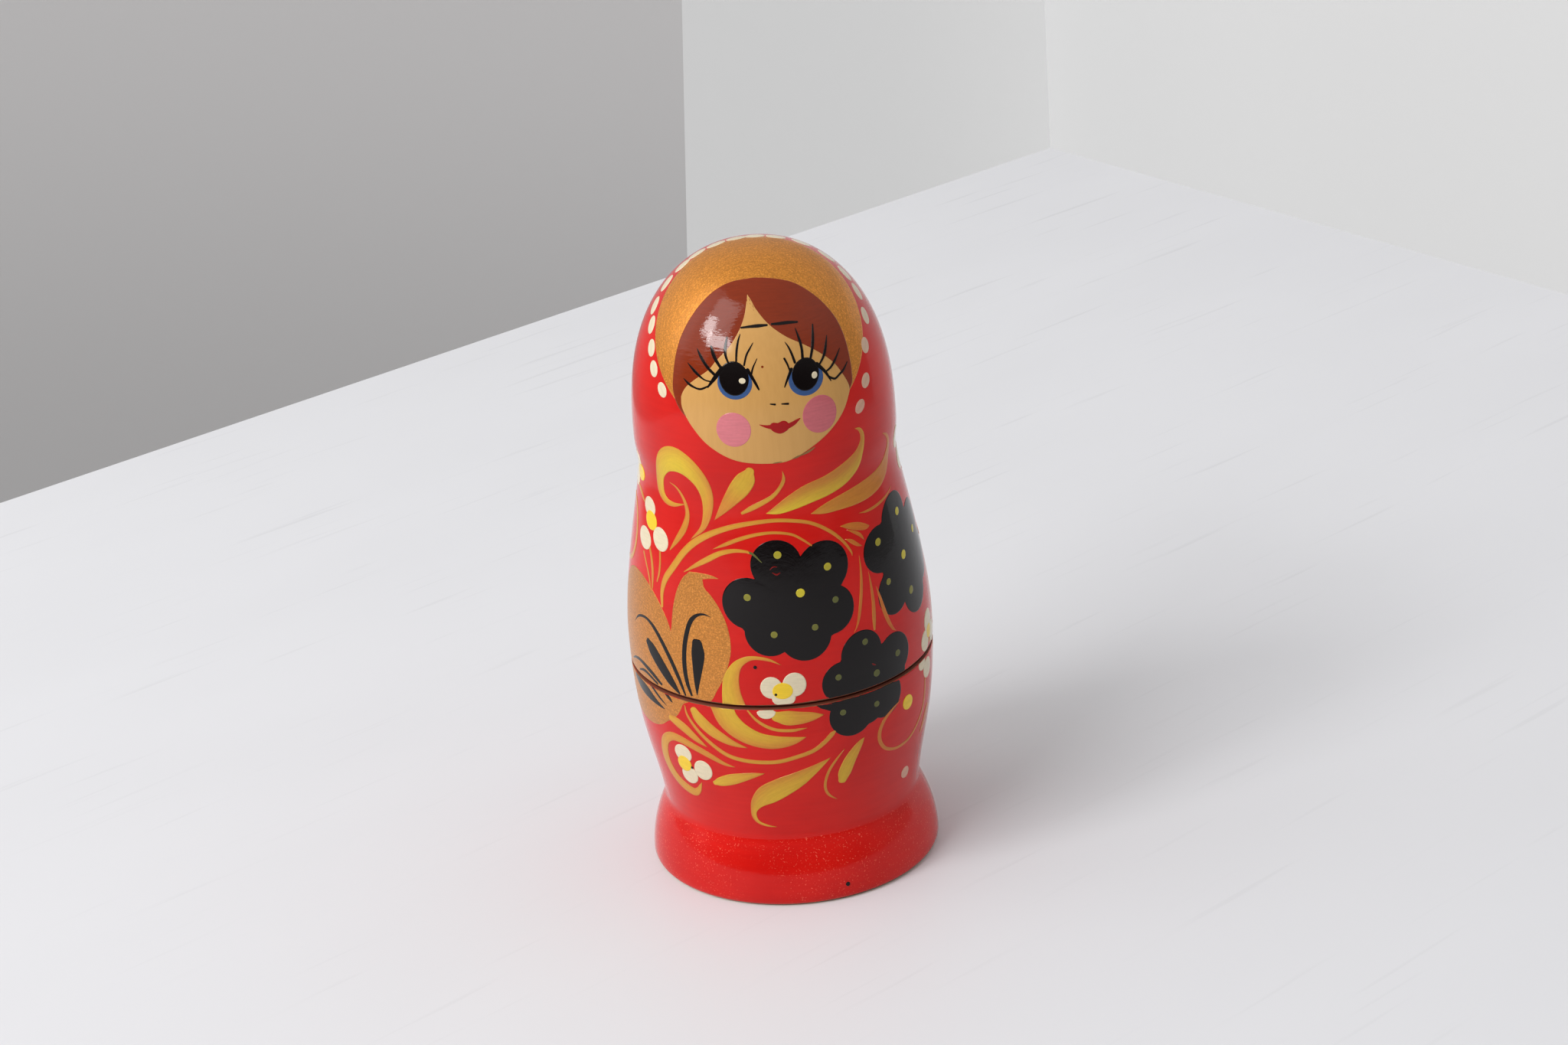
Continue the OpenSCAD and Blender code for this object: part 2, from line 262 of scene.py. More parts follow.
# Flowers: white petals as (a, v, half width, half height), and yellow middles the same way.
UPPER_PETALS = (
    (-25.9, 73.7, 2.05, 1.7), (-27.9, 67.8, 2.3, 2), (-22.6, 69, 2.2, 2.1), (-32, 80, 2.2, 2),
    (-33.5, 77, 2, 2), (-2.4, 45, 1.95, 2.1), (1.6, 45.3, 2.1, 2.3), (-0.4, 42.9, 2.1, 1.6),
    (31.8, 80.8, 2.2, 2.2), (33.5, 76.2, 1.9, 2), (34.5, 46.8, 2.2, 2.2), (32.3, 43.8, 2, 2),
    (37, 43.8, 2, 2),
)
UPPER_MIDDLES = (
    (-25.4, 71.5, 1.95, 1.7), (-30, 78.4, 2, 1.5), (-0.5, 44.3, 1.85, 1.6), (34.6, 44.8, 1.4, 1.4),
)
LOWER_PETALS = (
    (-21, 29.3, 2.15, 1.9), (-16.6, 26.8, 2, 2.2), (-19.9, 24.8, 2, 2), (-3.6, 40.4, 1.7, 1.4),
    (30.2, 40.3, 1.5, 1.4), (32.8, 38.3, 2.1, 2),
)
LOWER_MIDDLES = ((-20.9, 27.1, 1.75, 1.75), (24.5, 35.1, 1.5, 1.5))
# Lone dot of thin white above the foot.
LONE_DOT = (23.7, 19.7, 1.3, 1.3)

# Leaf beside the seam: the outline of each lobe round its middle, and its black veins as (a, v, width).
UPPER_LEAF = (
    ((-15.4, 51),
     ((-14.5, 41.2), (-12, 44.2), (-10, 48), (-8.9, 52), (-9.2, 56), (-10.3, 59), (-11.8, 61.3),
      (-13.1, 62.7), (-13.3, 64.8), (-15.2, 65), (-17.2, 63.9), (-18.9, 61.3), (-20.1, 58), (-20.8, 54.5),
      (-22, 48), (-21, 41.2))),
    ((-31, 49),
     ((-19, 41.2), (-19.5, 47), (-21, 53.3), (-22.5, 56.3), (-25, 59), (-28, 60.7), (-31, 61.3), (-34, 61),
      (-37, 59.5), (-40, 56.5), (-43, 52), (-44.5, 46.5), (-44.5, 41.2))),
)
UPPER_LEAF_TIP = ((-15.6, 64.2, 1.6), (-13.4, 64.5, 1.1), (-11.6, 64.6, 0.6), (-10, 64.4, 0))
LOWER_LEAF = (
    ((-31, 38.6),
     ((-17.5, 41.8), (-19.5, 40), (-20.5, 38.2), (-22, 36.5), (-24, 35.2), (-26, 33.8), (-29, 32.8),
      (-33, 32.5), (-37, 33), (-41, 34.6), (-44, 38), (-45, 41.8))),
)
UPPER_VEINS = (
    ((-17.4, 42.3, 0.5), (-18.1, 44.5, 0.9), (-18.4, 47.5, 1), (-18.1, 51, 1), (-17.3, 54, 0.95),
     (-16.3, 56.2, 0.9), (-15, 57.4, 0.6), (-13.5, 57.8, 0.35), (-11.9, 57.4, 0)),
    ((-16.2, 42.6, 0.2), (-16, 45, 1.2), (-15.6, 48, 2.2), (-15.3, 50.5, 2.8), (-15.3, 52.2, 2.2)),
    ((-18.8, 42, 0.4), (-20, 45, 0.9), (-21.6, 48, 1), (-23.6, 50.8, 1), (-25.6, 52.7, 0.9),
     (-27.6, 53.6, 0.6), (-29.5, 53.6, 0.5), (-31.5, 52.9, 0.4), (-33.3, 51.3, 0)),
    ((-20.2, 42, 0.5), (-22, 43.8, 1.9), (-24.3, 46.2, 2.6), (-26.6, 48.4, 2.6), (-27.8, 49.4, 1.6)),
    ((-24.8, 42.4, 0.6), (-27, 43.5, 0.9), (-29.5, 44.3, 0.9), (-32, 44.6, 0.7), (-34.5, 44.1, 0.5),
     (-37, 42.9, 0)),
    ((-26, 42.1, 0.5), (-28.5, 42.9, 0.6), (-30.5, 43.1, 0.6), (-32.5, 42.5, 0.3)),
)
LOWER_VEINS = (
    ((-24.2, 37.4, 0), (-27, 38.1, 1.2), (-30, 39, 2.4), (-33, 39.6, 2.2), (-35.5, 40.2, 1)),
    ((-22, 39.4, 0), (-22.8, 40.1, 0.7), (-23.6, 40.8, 0.9)),
    ((-23.5, 38.2, 0), (-25.5, 39.3, 0.5), (-27.5, 40.5, 0.6), (-28.5, 41, 0.4)),
)

# Flaws: pits and specks as (a, v, radius), and scuffs that bare the red as (a, v, width).
UPPER_SPECKS = ((-4.9, 48.9, 0.32), (-1.7, 43.7, 0.25))
LOWER_SPECKS = ((8.5, 3.6, 0.4), (-19.1, 26.7, 0.25))
FACE_SPECK = (0.3, 101.65, 0.22)
FACE_SMUDGES = (
    ((4.2, 85.4, 0.1), (5, 85.62, 0.35), (5.6, 85.8, 0.2), (6.3, 85.95, 0.3), (7.3, 86.3, 0.35),
     (8.2, 86.75, 0.1)),
    ((0.6, 84.98, 0.05), (1.6, 85.05, 0.22), (2.6, 85.12, 0.05)),
)
SCUFFS = (
    ((-0.7, 65.6, 0.1), (0, 65.2, 0.3), (0.6, 65.5, 0.1)),
    ((-1.2, 66, 0.05), (-0.5, 66.6, 0.2), (0.4, 66.5, 0.05)),
    ((16.1, 46, 0.1), (16.5, 45.7, 0.3), (16.9, 45.5, 0.1)),
)

# Kerchief: a gold disc round the face and a row of dots just outside it, both as cones from a point on the
# axis. Each cone leans forward from upright and opens by its half angle. A dot is its angle round the cone,
# the distance in millimetres that the brush strayed out from it, and how well its paint covers the red.
HEAD_CENTRE_Z = 82.0
HEAD_RADIUS = 24.0
BAND_LEAN, BAND_TURN, BAND_OPEN = 36.7, 0.8, 40.7
BAND_REACH = 17
DOT_LEAN, DOT_TURN, DOT_OPEN = 39.0, 1.7, 45.1
DOTS = (
    (-99, -0.5, 1), (-86, -0.2, 1), (-75, -0.3, 1), (-63, 0.1, 1), (-53, 0.8, 1), (-42, 0.5, 1), (-32, 0, 1),
    (-24, 0, 1), (-15, -0.3, 1), (-6, -0.3, 1), (2, -0.3, 1), (11, -0.3, 1), (22, 0.2, 1), (34, 0.5, 1),
    (45, 0.4, 1), (55, 0.4, 0.95), (68, -0.3, 0.9), (85, -1.5, 0.75), (103, 0, 0.7), (117, 1.2, 0.6),
)
DOT_HALF = (1.35, 1)

HAIR_MIDDLE = (0, 101)
HAIR_EDGE = (
    (-15.5, 94.2), (-16.5, 97), (-16.2, 100), (-15.5, 103), (-14.3, 106), (-12.3, 109.2), (-9.8, 112.3),
    (-7, 115), (-4, 116.9), (-1, 117.6), (1, 117.6), (4, 116.8), (7, 115.3), (10, 112.8), (12.5, 110.2),
    (14.8, 107), (16.2, 103.5), (16.8, 100), (16.9, 97.5), (16.5, 95.5), (13, 92), (7, 88), (0, 87),
    (-7, 88), (-13, 92),
)
FACE_MIDDLE = (0, 97)
FACE_EDGE = (
    (1.5, 84.9), (4.5, 85.4), (7, 86.5), (10, 88.1), (12.5, 89.9), (14.5, 92), (15.9, 94.5), (16, 95.2),
    (15.8, 96), (15, 97.5), (13.5, 99.7), (12, 101.2), (10, 102.8), (7.5, 104.5), (5, 106), (3, 107.6),
    (1.5, 109.2), (0.3, 111), (-0.6, 112.8), (-1.1, 114.9), (-1.5, 113), (-1.9, 111), (-2.6, 109),
    (-3.7, 107), (-5.2, 105), (-7.5, 102.8), (-9, 101.2), (-11.5, 99.5), (-13.5, 98), (-14.6, 96.5),
    (-14.8, 95.5), (-14.6, 94), (-13, 91.3), (-9.8, 88), (-5, 85.6),
)
# Eyes: the blue oval, the black oval over it and the glint, each as (a, v, half width, half height).
EYES = (
    ((-4.54, 99.1, 3.04, 2.8), (-4.6, 99.9, 2.58, 2.96), (-3.22, 99.5, 0.6, 0.5)),
    ((7.6, 98.65, 3.2, 2.85), (7.55, 99.43, 2.5, 2.83), (9.1, 99, 0.55, 0.6)),
)
CHEEKS = ((-5.35, 91.2, 3.05, 3.05, 0), (9.6, 92.3, 3.25, 3.28, 0.26))
# Lids, lashes, brows and nostrils, as (a, v, width).
LASHES = (
    ((-9.3, 98.3, 0.25), (-8.5, 99.25, 0.56), (-7.6, 100.3, 0.75), (-6.5, 101.6, 0.75)),
    ((-2.2, 101.3, 0.62), (-1.5, 99.95, 0.53), (-0.95, 98.8, 0.45), (-0.58, 97.95, 0.31)),
    ((-9.2, 98.5, 0.25), (-10.1, 98.06, 0.34), (-10.9, 97.85, 0.34), (-11.9, 98.06, 0.34),
     (-12.9, 98.5, 0.47), (-13.9, 99.25, 0.1)),
    ((-8.7, 99.28, 0.25), (-9.67, 99.44, 0.25), (-10.56, 99.94, 0.38), (-11.67, 100.83, 0.53),
     (-12.85, 101.95, 0.1)),
    ((-7.7, 100.3, 0.5), (-8.78, 101.28, 0.56), (-9.67, 102.39, 0.56), (-10.33, 103.5, 0.5),
     (-10.9, 104.7, 0.06)),
    ((-6.6, 101.5, 0.5), (-7.44, 102.83, 0.6), (-7.9, 103.94, 0.65), (-8.15, 105.1, 0.38)),
    ((-5.3, 102.4, 0.31), (-5.72, 103.7, 0.44), (-5.67, 105.06, 0.5), (-5.25, 106.8, 0.19)),
    ((-4, 102.6, 0.31), (-3.78, 104.5, 0.38), (-3.39, 106.2, 0.31), (-2.9, 107.5, 0.06)),
    ((-2.7, 102.1, 0.31), (-2.22, 103.7, 0.33), (-1.56, 104.8, 0.28), (-0.8, 106, 0.06)),
    ((-1.65, 100.4, 0.31), (-1.28, 101.6, 0.28), (-0.5, 103.06, 0.12)),
    ((5.1, 100.7, 0.56), (4.25, 99, 0.38), (3.75, 97.9, 0.19)),
    ((9.7, 100.7, 0.69), (11, 99.3, 0.53), (11.6, 98.4, 0.43), (12.15, 97.35, 0.15)),
    ((4.85, 100.4, 0.28), (4.5, 101.6, 0.31), (4.05, 102.6, 0.35)),
    ((5.8, 101.7, 0.44), (5.4, 103.1, 0.38), (4.9, 104.4, 0.28), (4.25, 105.5, 0.06)),
    ((7.2, 102.1, 0.5), (7.2, 103.6, 0.45), (6.95, 105.1, 0.43), (6.35, 107.3, 0.12)),
    ((8.6, 101.8, 0.44), (9.1, 103.4, 0.5), (9.4, 105.1, 0.5), (9.6, 107.3, 0.19)),
    ((10, 100.3, 0.31), (11, 101.5, 0.45), (11.6, 102.75, 0.53), (12.15, 104.8, 0.1)),
    ((11.1, 99, 0.25), (12.25, 99.5, 0.38), (13.25, 100.4, 0.45), (14.6, 102.1, 0.1)),
    ((11.8, 98.1, 0.38), (12.5, 97.68, 0.38), (13.1, 97.5, 0.38), (14.1, 98, 0.4), (15, 98.5, 0.38),
     (16, 99.5, 0.12)),
    ((-2.72, 108.38, 0.31), (-1.33, 108.5, 0.47), (0.1, 108.55, 0.62), (1.56, 108.55, 0.35)),
    ((2.4, 108.62, 0.35), (3.5, 108.55, 0.5), (5, 108.5, 0.56), (6.8, 108.28, 0.31)),
    ((1.15, 95.33, 0.19), (1.9, 95.2, 0.35)),
    ((3.05, 95.15, 0.19), (4.1, 95.05, 0.38)),
)
# Lips: the middle as a patch, and a stroke out to each corner.
LIPS_MIDDLE = (2.4, 91.2)
LIPS_EDGE = (
    (0.7, 91.75), (1.1, 92.15), (1.7, 92.15), (2.1, 92), (2.6, 92.2), (3.2, 92.35), (3.7, 92.1), (4.1, 91.6),
    (4.1, 90.9), (3.5, 90.4), (2.5, 90.05), (1.5, 90.4), (0.9, 90.95),
)
LIPS_CORNERS = (
    ((3.9, 91.25, 0.9), (4.8, 91.6, 0.78), (5.4, 91.95, 0.55), (5.95, 92.25, 0.2)),
    ((1.1, 91.4, 0.9), (0.3, 91.54, 0.55), (-0.3, 91.72, 0.35), (-0.9, 91.95, 0.12)),
)


class Outline:
    """Turned outline of the largest doll in millimetres, read by the distance v along it.

    A quarter round at the foot, a bowed flank, two Bezier stretches over the belly, one to the head's
    widest point, and a dome whose radius and height are powers of a cosine and a sine.
    """

    STEPS = 400
    CREASE_SLOPE = 0.12
    DOME_POWERS = (2.16, 2.47)
    BELLY_PULLS = (0.55, 0.36)
    NECK_PULL = 0.12
    HEAD_PULL = 0.4

    def __init__(self, form):
        foot, edge, bow = form.foot_d / MM / 2, form.foot_edge / MM, form.foot_bow / MM
        crease = np.array([form.crease_d / 2, form.crease_z]) / MM
        belly = np.array([form.belly_d / 2, form.belly_z]) / MM
        neck = np.array([form.neck_d / 2, form.neck_z]) / MM
        side = np.array([form.head_d / 2, form.neck_z + form.head_rise]) / MM
        top = form.doll_h / MM
        turn = np.radians(np.linspace(0, 90, 40))
        round_edge = np.stack([foot - edge + edge * np.sin(turn), edge * (1 - np.cos(turn))], 1)
        low = np.array([foot, edge])
        third = (crease - low) / 3
        swell = np.array([4 / 3 * bow, 0])
        rise, drop = belly[1] - crease[1], neck[1] - belly[1]
        leave = np.array([self.CREASE_SLOPE, 1]) * rise / 3
        below_belly = np.array([0, self.BELLY_PULLS[0] * rise])
        above_belly = np.array([0, self.BELLY_PULLS[1] * drop])
        below_neck = np.array([0, self.NECK_PULL * drop])
        pull = np.array([0, self.HEAD_PULL * (side[1] - neck[1])])
        turn = np.radians(np.linspace(0, 90, 2 * self.STEPS))[1:]
        wide, tall = (2 / power for power in self.DOME_POWERS)
        dome_r = side[0] * np.clip(np.cos(turn), 0, 1) ** wide
        dome_z = side[1] + (top - side[1]) * np.sin(turn) ** tall
        line = np.concatenate([
            round_edge,
            self.bezier(low, low + third + swell, crease - third + swell, crease),
            self.bezier(crease, crease + leave, belly - below_belly, belly),
            self.bezier(belly, belly + above_belly, neck - below_neck, neck),
            self.bezier(neck, neck + pull, side - pull, side),
            np.stack([dome_r, dome_z], 1),
        ])
        self.r, self.z = line.T
        self.v = np.concatenate([[0], np.cumsum(np.hypot(*np.diff(line, axis=0).T))])
        slope = np.gradient(line, self.v, axis=0)
        slope /= np.linalg.norm(slope, axis=1)[:, None]
        self.out_r, self.out_z = slope[:, 1], -slope[:, 0]
        self.out_r[-1], self.out_z[-1] = 0, 1
        self.head_tilt = np.arctan2(self.z - HEAD_CENTRE_Z, self.r)

    def bezier(self, start, first, second, end):
        """Points of one cubic Bezier stretch, without its first."""
        t = np.linspace(0, 1, self.STEPS + 1)[1:, None]
        u = 1 - t
        return u**3 * start + 3 * u * u * t * first + 3 * u * t * t * second + t**3 * end

    def radius(self, v):
        return np.interp(v, self.v, self.r)

    def v_at(self, z):
        """Distance along the outline at a height."""
        return np.interp(z, self.z, self.v)

    def v_seen(self, tilt):
        """Distance along the outline where a line from the head's centre, tilted up so far, comes out."""
        return np.interp(tilt, self.head_tilt, self.v)


class Doll:
    """One doll of the set: its size against the largest, where it stands, and how (theta, v) lies on it."""

    def __init__(self, number, form, paint):
        self.number = number
        self.outline = Outline(form)
        self.whole = f"doll_{number}_whole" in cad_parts
        self.lower = f"doll_{number}_whole" if self.whole else f"doll_{number}_lower"
        self.upper = f"doll_{number}_whole" if self.whole else f"doll_{number}_upper"
        self.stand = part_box(self.lower)[0].z
        self.size = (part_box(self.upper)[1].z - self.stand) / form.doll_h
        self.thin = math.sqrt(self.size)
        self.facing = 0.0
        self.paint = paint
        gap, bevel = form.seam_gap / MM / self.size, form.edge_break / MM / self.size
        seam = form.seam_z / MM
        self.lower_rim = self.outline.v_at(seam - bevel)
        self.upper_rim = self.outline.v_at(seam + gap + bevel)
        self.lower_limits = NO_SEAM if self.whole else (NO_SEAM[0], self.lower_rim - RIM_MARGIN)
        self.upper_limits = NO_SEAM if self.whole else (self.upper_rim + RIM_MARGIN, NO_SEAM[1])

    def lay(self, theta, v, height):
        """Points over the outline, out along its normal by a height in metres and turned to theta."""
        line = self.outline
        lift = height / MM / self.size
        r = np.interp(v, line.v, line.r) + lift * np.interp(v, line.v, line.out_r)
        z = np.interp(v, line.v, line.z) + lift * np.interp(v, line.v, line.out_z)
        r, z, theta = np.broadcast_arrays(r, z, theta + self.facing)
        points = np.stack([r * np.sin(theta), -r * np.cos(theta), z], -1) * self.size * MM
        return points + (0, 0, self.stand)

    def seen_from_behind(self):
        """The same doll with its front line at the back."""
        other = copy.copy(self)
        other.facing = math.pi
        return other

    def coat(self):
        return self.paint.coat * self.thin

    def height(self, layer):
        """Height of the top of a layer of ornament over the wood."""
        return (self.paint.coat + layer * self.paint.layer) * self.thin


class Film:
    """Closed films of paint that make one piece, with a pigment and a brush direction at each point."""

    def __init__(self):
        self.points, self.quads, self.triangles, self.pigments, self.brushes = [], [], [], [], []
        self.count = 0

    def add(self, rings, poles=None, pigment=(1, 1, 1), brush=(0, 0, 0)):
        """Skin over closed rings of points: quads from ring to ring, and a fan to the pole at each end.

        Without poles the last ring joins the first. Rings are anticlockwise seen from outside the first pole.
        """
        turns, around = rings.shape[:2]
        points = [rings.reshape(-1, 3)]
        pigment = np.broadcast_to(pigment, rings.shape)
        brush = np.broadcast_to(brush, rings.shape)
        pigments, brushes = [pigment.reshape(-1, 3)], [brush.reshape(-1, 3)]
        index = np.arange(turns * around).reshape(turns, around) + self.count
        if poles is None:
            index = np.concatenate([index, index[:1]])
        near, far = index[:-1], index[1:]
        quads = np.stack([near, far, np.roll(far, -1, 1), np.roll(near, -1, 1)], -1)
        self.quads.append(quads.reshape(-1, 4))
        if poles is not None:
            first = self.count + turns * around
            points.append(np.array(poles))
            pigments.append(np.stack([pigment[0].mean(0), pigment[-1].mean(0)]))
            brushes.append(np.stack([brush[0].mean(0), brush[-1].mean(0)]))
            start, end = index[0], index[-1]
            fan = np.stack([np.full(around, first), start, np.roll(start, -1)], -1)
            close = np.stack([np.full(around, first + 1), np.roll(end, -1), end], -1)
            self.triangles += [fan, close]
        self.points += points
        self.pigments += pigments
        self.brushes += brushes
        self.count += sum(len(p) for p in points)

    def build(self, name, body, material):
        """Mesh object of all the films, riding on a body of the set."""
        quads = np.concatenate(self.quads)
        triangles = np.concatenate(self.triangles or [np.zeros((0, 3), int)])
        corners = np.concatenate([quads.ravel(), triangles.ravel()])
        sizes = np.concatenate([np.full(len(quads), 4), np.full(len(triangles), 3)])
        mesh = bpy.data.meshes.new(name)
        mesh.vertices.add(self.count)
        mesh.vertices.foreach_set("co", np.concatenate(self.points).astype(np.float32).ravel())
        mesh.loops.add(len(corners))
        mesh.loops.foreach_set("vertex_index", corners.astype(np.int32))
        mesh.polygons.add(len(sizes))
        mesh.polygons.foreach_set("loop_start", (np.cumsum(sizes) - sizes).astype(np.int32))
        mesh.polygons.foreach_set("use_smooth", np.ones(len(sizes), bool))
        pigment = np.ones((self.count, 4), np.float32)
        pigment[:, :3] = np.concatenate(self.pigments)
        mesh.attributes.new("pigment", "FLOAT_COLOR", "POINT").data.foreach_set("color", pigment.ravel())
        brush = np.concatenate(self.brushes).astype(np.float32)
        mesh.attributes.new("brush", "FLOAT_VECTOR", "POINT").data.foreach_set("vector", brush.ravel())
        mesh.update(calc_edges=True)
        mesh.validate()
        mesh.materials.append(material)
        piece = bpy.data.objects.new(name, mesh)
        bpy.context.scene.collection.objects.link(piece)
        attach(piece, body)


def blend_colours(first, second, share):
    """Mix of two colours by a share or an array of shares."""
    share = np.expand_dims(np.clip(share, 0, 1), -1)
    return np.array(first) * (1 - share) + np.array(second) * share


def smooth_line(points, step):
    """Catmull-Rom curve through points, with about one sample every step."""
    p = np.array(points, float)
    ends = np.concatenate([[2 * p[0] - p[1]], p, [2 * p[-1] - p[-2]]])
    count = max(3, math.ceil(np.hypot(*np.diff(p[:, :2], axis=0).T).max() / step))
    t = np.linspace(0, 1, count, endpoint=False)[None, :, None]
    a, b, c, d = (ends[i : i + len(p) - 1, None] for i in range(4))
    bend = 0.5 * (2 * b + (c - a) * t + (2 * a - 5 * b + 4 * c - d) * t**2 + (3 * b - a - 3 * c + d) * t**3)
    return np.concatenate([bend.reshape(-1, p.shape[1]), p[-1:]])


def smooth_loop(points, step):
    """Closed Catmull-Rom curve through points."""
    p = list(points)
    line = smooth_line(p[-2:] + p + p[:2], step)
    count = (len(line) - 1) // (len(p) + 3)
    return line[2 * count : (len(p) + 2) * count]


def stroke(film, doll, points, layer, colours, tones=(0, 0, 0), shade=0.0, limits=NO_SEAM):
    """One brush stroke along points (a, v, width), as a closed crowned film.

    Its section runs over the top from the right edge to the left and back underneath. An end that still has
    width is rounded by rings whose width shrinks as a circle. Tones, from the start to the end, say how far
    the colour goes from the first to the second, or below zero to the red under it. Shade leans it to the
    second on one side.
    """
    spine = smooth_line(points, 0.6 / doll.thin)
    spine[:, 2] = np.clip(spine[:, 2], 0, None)
    ahead = np.gradient(spine[:, :2], axis=0)
    ahead /= np.linalg.norm(ahead, axis=1)[:, None]
    turn = np.radians([75, 55, 35, 15])
    for end, sign in ((0, -1), (-1, 1)):
        half = spine[end, 2] / 2
        if half < 0.05:
            continue
        cap = np.stack([
            spine[end, 0] + sign * ahead[end, 0] * half * np.sin(turn),
            spine[end, 1] + sign * ahead[end, 1] * half * np.sin(turn),
            2 * half * np.cos(turn),
        ], 1)
        heading = np.repeat(ahead[end][None], len(turn), 0)
        order = slice(None) if end == 0 else slice(None, None, -1)
        spine = np.concatenate([cap[order], spine] if end == 0 else [spine, cap[order]])
        ahead = np.concatenate([heading, ahead] if end == 0 else [ahead, heading])
    run = np.concatenate([[0], np.cumsum(np.hypot(*np.diff(spine[:, :2], axis=0).T))])
    left = np.stack([-ahead[:, 1], ahead[:, 0]], 1)
    across = np.array([-1, -0.95, -0.86, -0.4, 0, 0.4, 0.86, 0.95, 1, 0.3, -0.3])
    raised = np.array([0, 1, 1, 1, 1, 1, 1, 1, 0, 0, 0])
    half = np.maximum(spine[:, 2:3] / 2, 0.02)
    a = spine[:, :1] + left[:, :1] * half * across
    v = np.clip(spine[:, 1:2] + left[:, 1:] * half * across, *limits)
    top = doll.height(layer) + doll.paint.crown * doll.thin * (1 - across**2) * np.minimum(1, half / 0.8)
    height = np.where(raised, top, doll.coat() * UNDERSIDE)
    rings = doll.lay(a / doll.outline.radius(v), v, height)
    share = run / run[-1]
    tone = np.interp(share, np.linspace(0, 1, len(tones)), tones)[:, None] + 0 * across
    pigment = blend_colours(*colours, tone + shade * across - 0.25 * across**2)
    pigment = blend_colours(pigment, doll.paint.red, -tone)
    seed = 7.3 * points[0][0] + 3.1 * points[0][1]
    brush = np.stack(np.broadcast_arrays(run[:, None], half * across, seed), -1)
    inner = slice(1, -1)
    low = doll.height(layer)
    poles = [
        doll.lay(spine[i, 0] / doll.outline.radius(spine[i, 1]), np.clip(spine[i, 1], *limits), low * 0.6)
        for i in (0, -1)
    ]
    film.add(rings[inner], poles, pigment[inner], brush[inner])


def lens(film, doll, reach, place, layer, core, thick=1.0, circling=False):
    """Flat drop of paint: rings round a middle, shrunk copies of its edge, over the top and back underneath.

    reach is the greatest distance from the middle to the edge, and place turns a share of the way out and
    an angle into (theta, v). The brush runs straight across, or round the middle where it is circling.
    Smaller dolls need fewer rings.
    """
    count = max(2, math.ceil(reach * doll.thin / 0.75))
    around = int(np.clip(reach * doll.thin * 12, 24, 220)) // 2 * 2
    angle = np.arange(around) / around * 2 * math.pi
    bevel = min(0.05, 0.08 / reach)
    out = np.concatenate([np.linspace(0, 1 - 3 * bevel, count + 1)[1:], [1 - bevel]])
    under = out[::-1] if reach > 5 else np.array([0.5])
    share = np.concatenate([out, [1], under])[:, None]
    top = doll.height(layer) + thick * doll.paint.crown * doll.thin * (1 - share**2)
    height = np.where(np.arange(len(share))[:, None] < len(out), top, doll.coat() * UNDERSIDE)
    theta, v = place(share, angle[None])
    rings = doll.lay(theta, v, height)
    middle = place(np.zeros((1, 1)), angle[None, :1])
    top_pole = doll.lay(*middle, doll.height(layer) + thick * doll.paint.crown * doll.thin)[0, 0]
    low_pole = doll.lay(*middle, doll.coat() * UNDERSIDE)[0, 0]
    if circling:
        along, across = angle[None] * reach, share * reach
    else:
        along, across = share * reach * np.cos(angle), share * reach * np.sin(angle)
    brush = np.stack(np.broadcast_arrays(along, across, reach), -1)
    film.add(rings, [top_pole, low_pole], np.array(core), brush)


def on_sheet(doll, middle, edge, limits=NO_SEAM):
    """place function of a shape on the sheet, whose distance to its edge is a function of the angle."""
    a0, v0 = middle

    def place(share, angle):
        reach = edge(angle)
        rise = np.sin(angle)
        room = np.where(rise < 0, v0 - limits[0], limits[1] - v0)
        reach = np.minimum(reach, room / np.maximum(np.abs(rise), 1e-6))
        v = v0 + share * reach * rise
        return (a0 + share * reach * np.cos(angle)) / doll.outline.radius(v), v

    return place


def oval(film, doll, shape, layer, core, limits=NO_SEAM, thick=1.0):
    """Oval drop (a, v, half width, half height); its edge is an ellipse in polar form."""
    a, v, wide, tall = shape

    def edge(angle):
        return wide * tall / np.hypot(tall * np.cos(angle), wide * np.sin(angle))

    lens(film, doll, max(wide, tall), on_sheet(doll, (a, v), edge, limits), layer, core, thick)


def patch(film, doll, middle, outline, layer, core, limits=NO_SEAM, thick=1.0):
    """Patch with a drawn edge: a smooth loop through points, read as distance against angle."""
    line = smooth_loop(outline, 0.5) - middle
    angles = np.arctan2(line[:, 1], line[:, 0]) % (2 * math.pi)
    order = np.argsort(angles)
    angles, reach = angles[order], np.hypot(*line.T)[order]

    def edge(angle):
        return np.interp(angle, angles, reach, period=2 * math.pi)

    lens(film, doll, reach.max(), on_sheet(doll, middle, edge, limits), layer, core, thick=thick)


def berry(film, doll, lobes, middle, layer, core, limits=NO_SEAM):
    """Berry of round lobes: its edge is the farthest that any lobe reaches along each direction."""
    lobes = np.array(lobes)
    da, dv, r = lobes[:, 0] - middle[0], lobes[:, 1] - middle[1], lobes[:, 2]

    def edge(angle):
        cos, sin = np.cos(angle)[..., None], np.sin(angle)[..., None]
        across = dv * cos - da * sin
        reach = da * cos + dv * sin + np.sqrt(np.maximum(r**2 - across**2, 0))
        return np.where(np.abs(across) < r, reach, 0).max(-1)

    lens(film, doll, BERRY_REACH, on_sheet(doll, middle, edge, limits), layer, core)


def head_direction(lean, turn, opening, angle):
    """Direction at an angle round a cone that leans forward, turns to the right and opens so far."""
    lean, turn = math.radians(lean), math.radians(turn)
    axis = np.array([math.sin(turn) * math.sin(lean), -math.cos(turn) * math.sin(lean), math.cos(lean)])
    up = np.array([0, 0, 1]) - axis[2] * axis
    up /= np.linalg.norm(up)
    side = np.cross(up, axis)
    opening, angle = (x[..., None] for x in np.broadcast_arrays(opening, angle))
    return np.cos(opening) * axis + np.sin(opening) * (np.cos(angle) * up + np.sin(angle) * side)


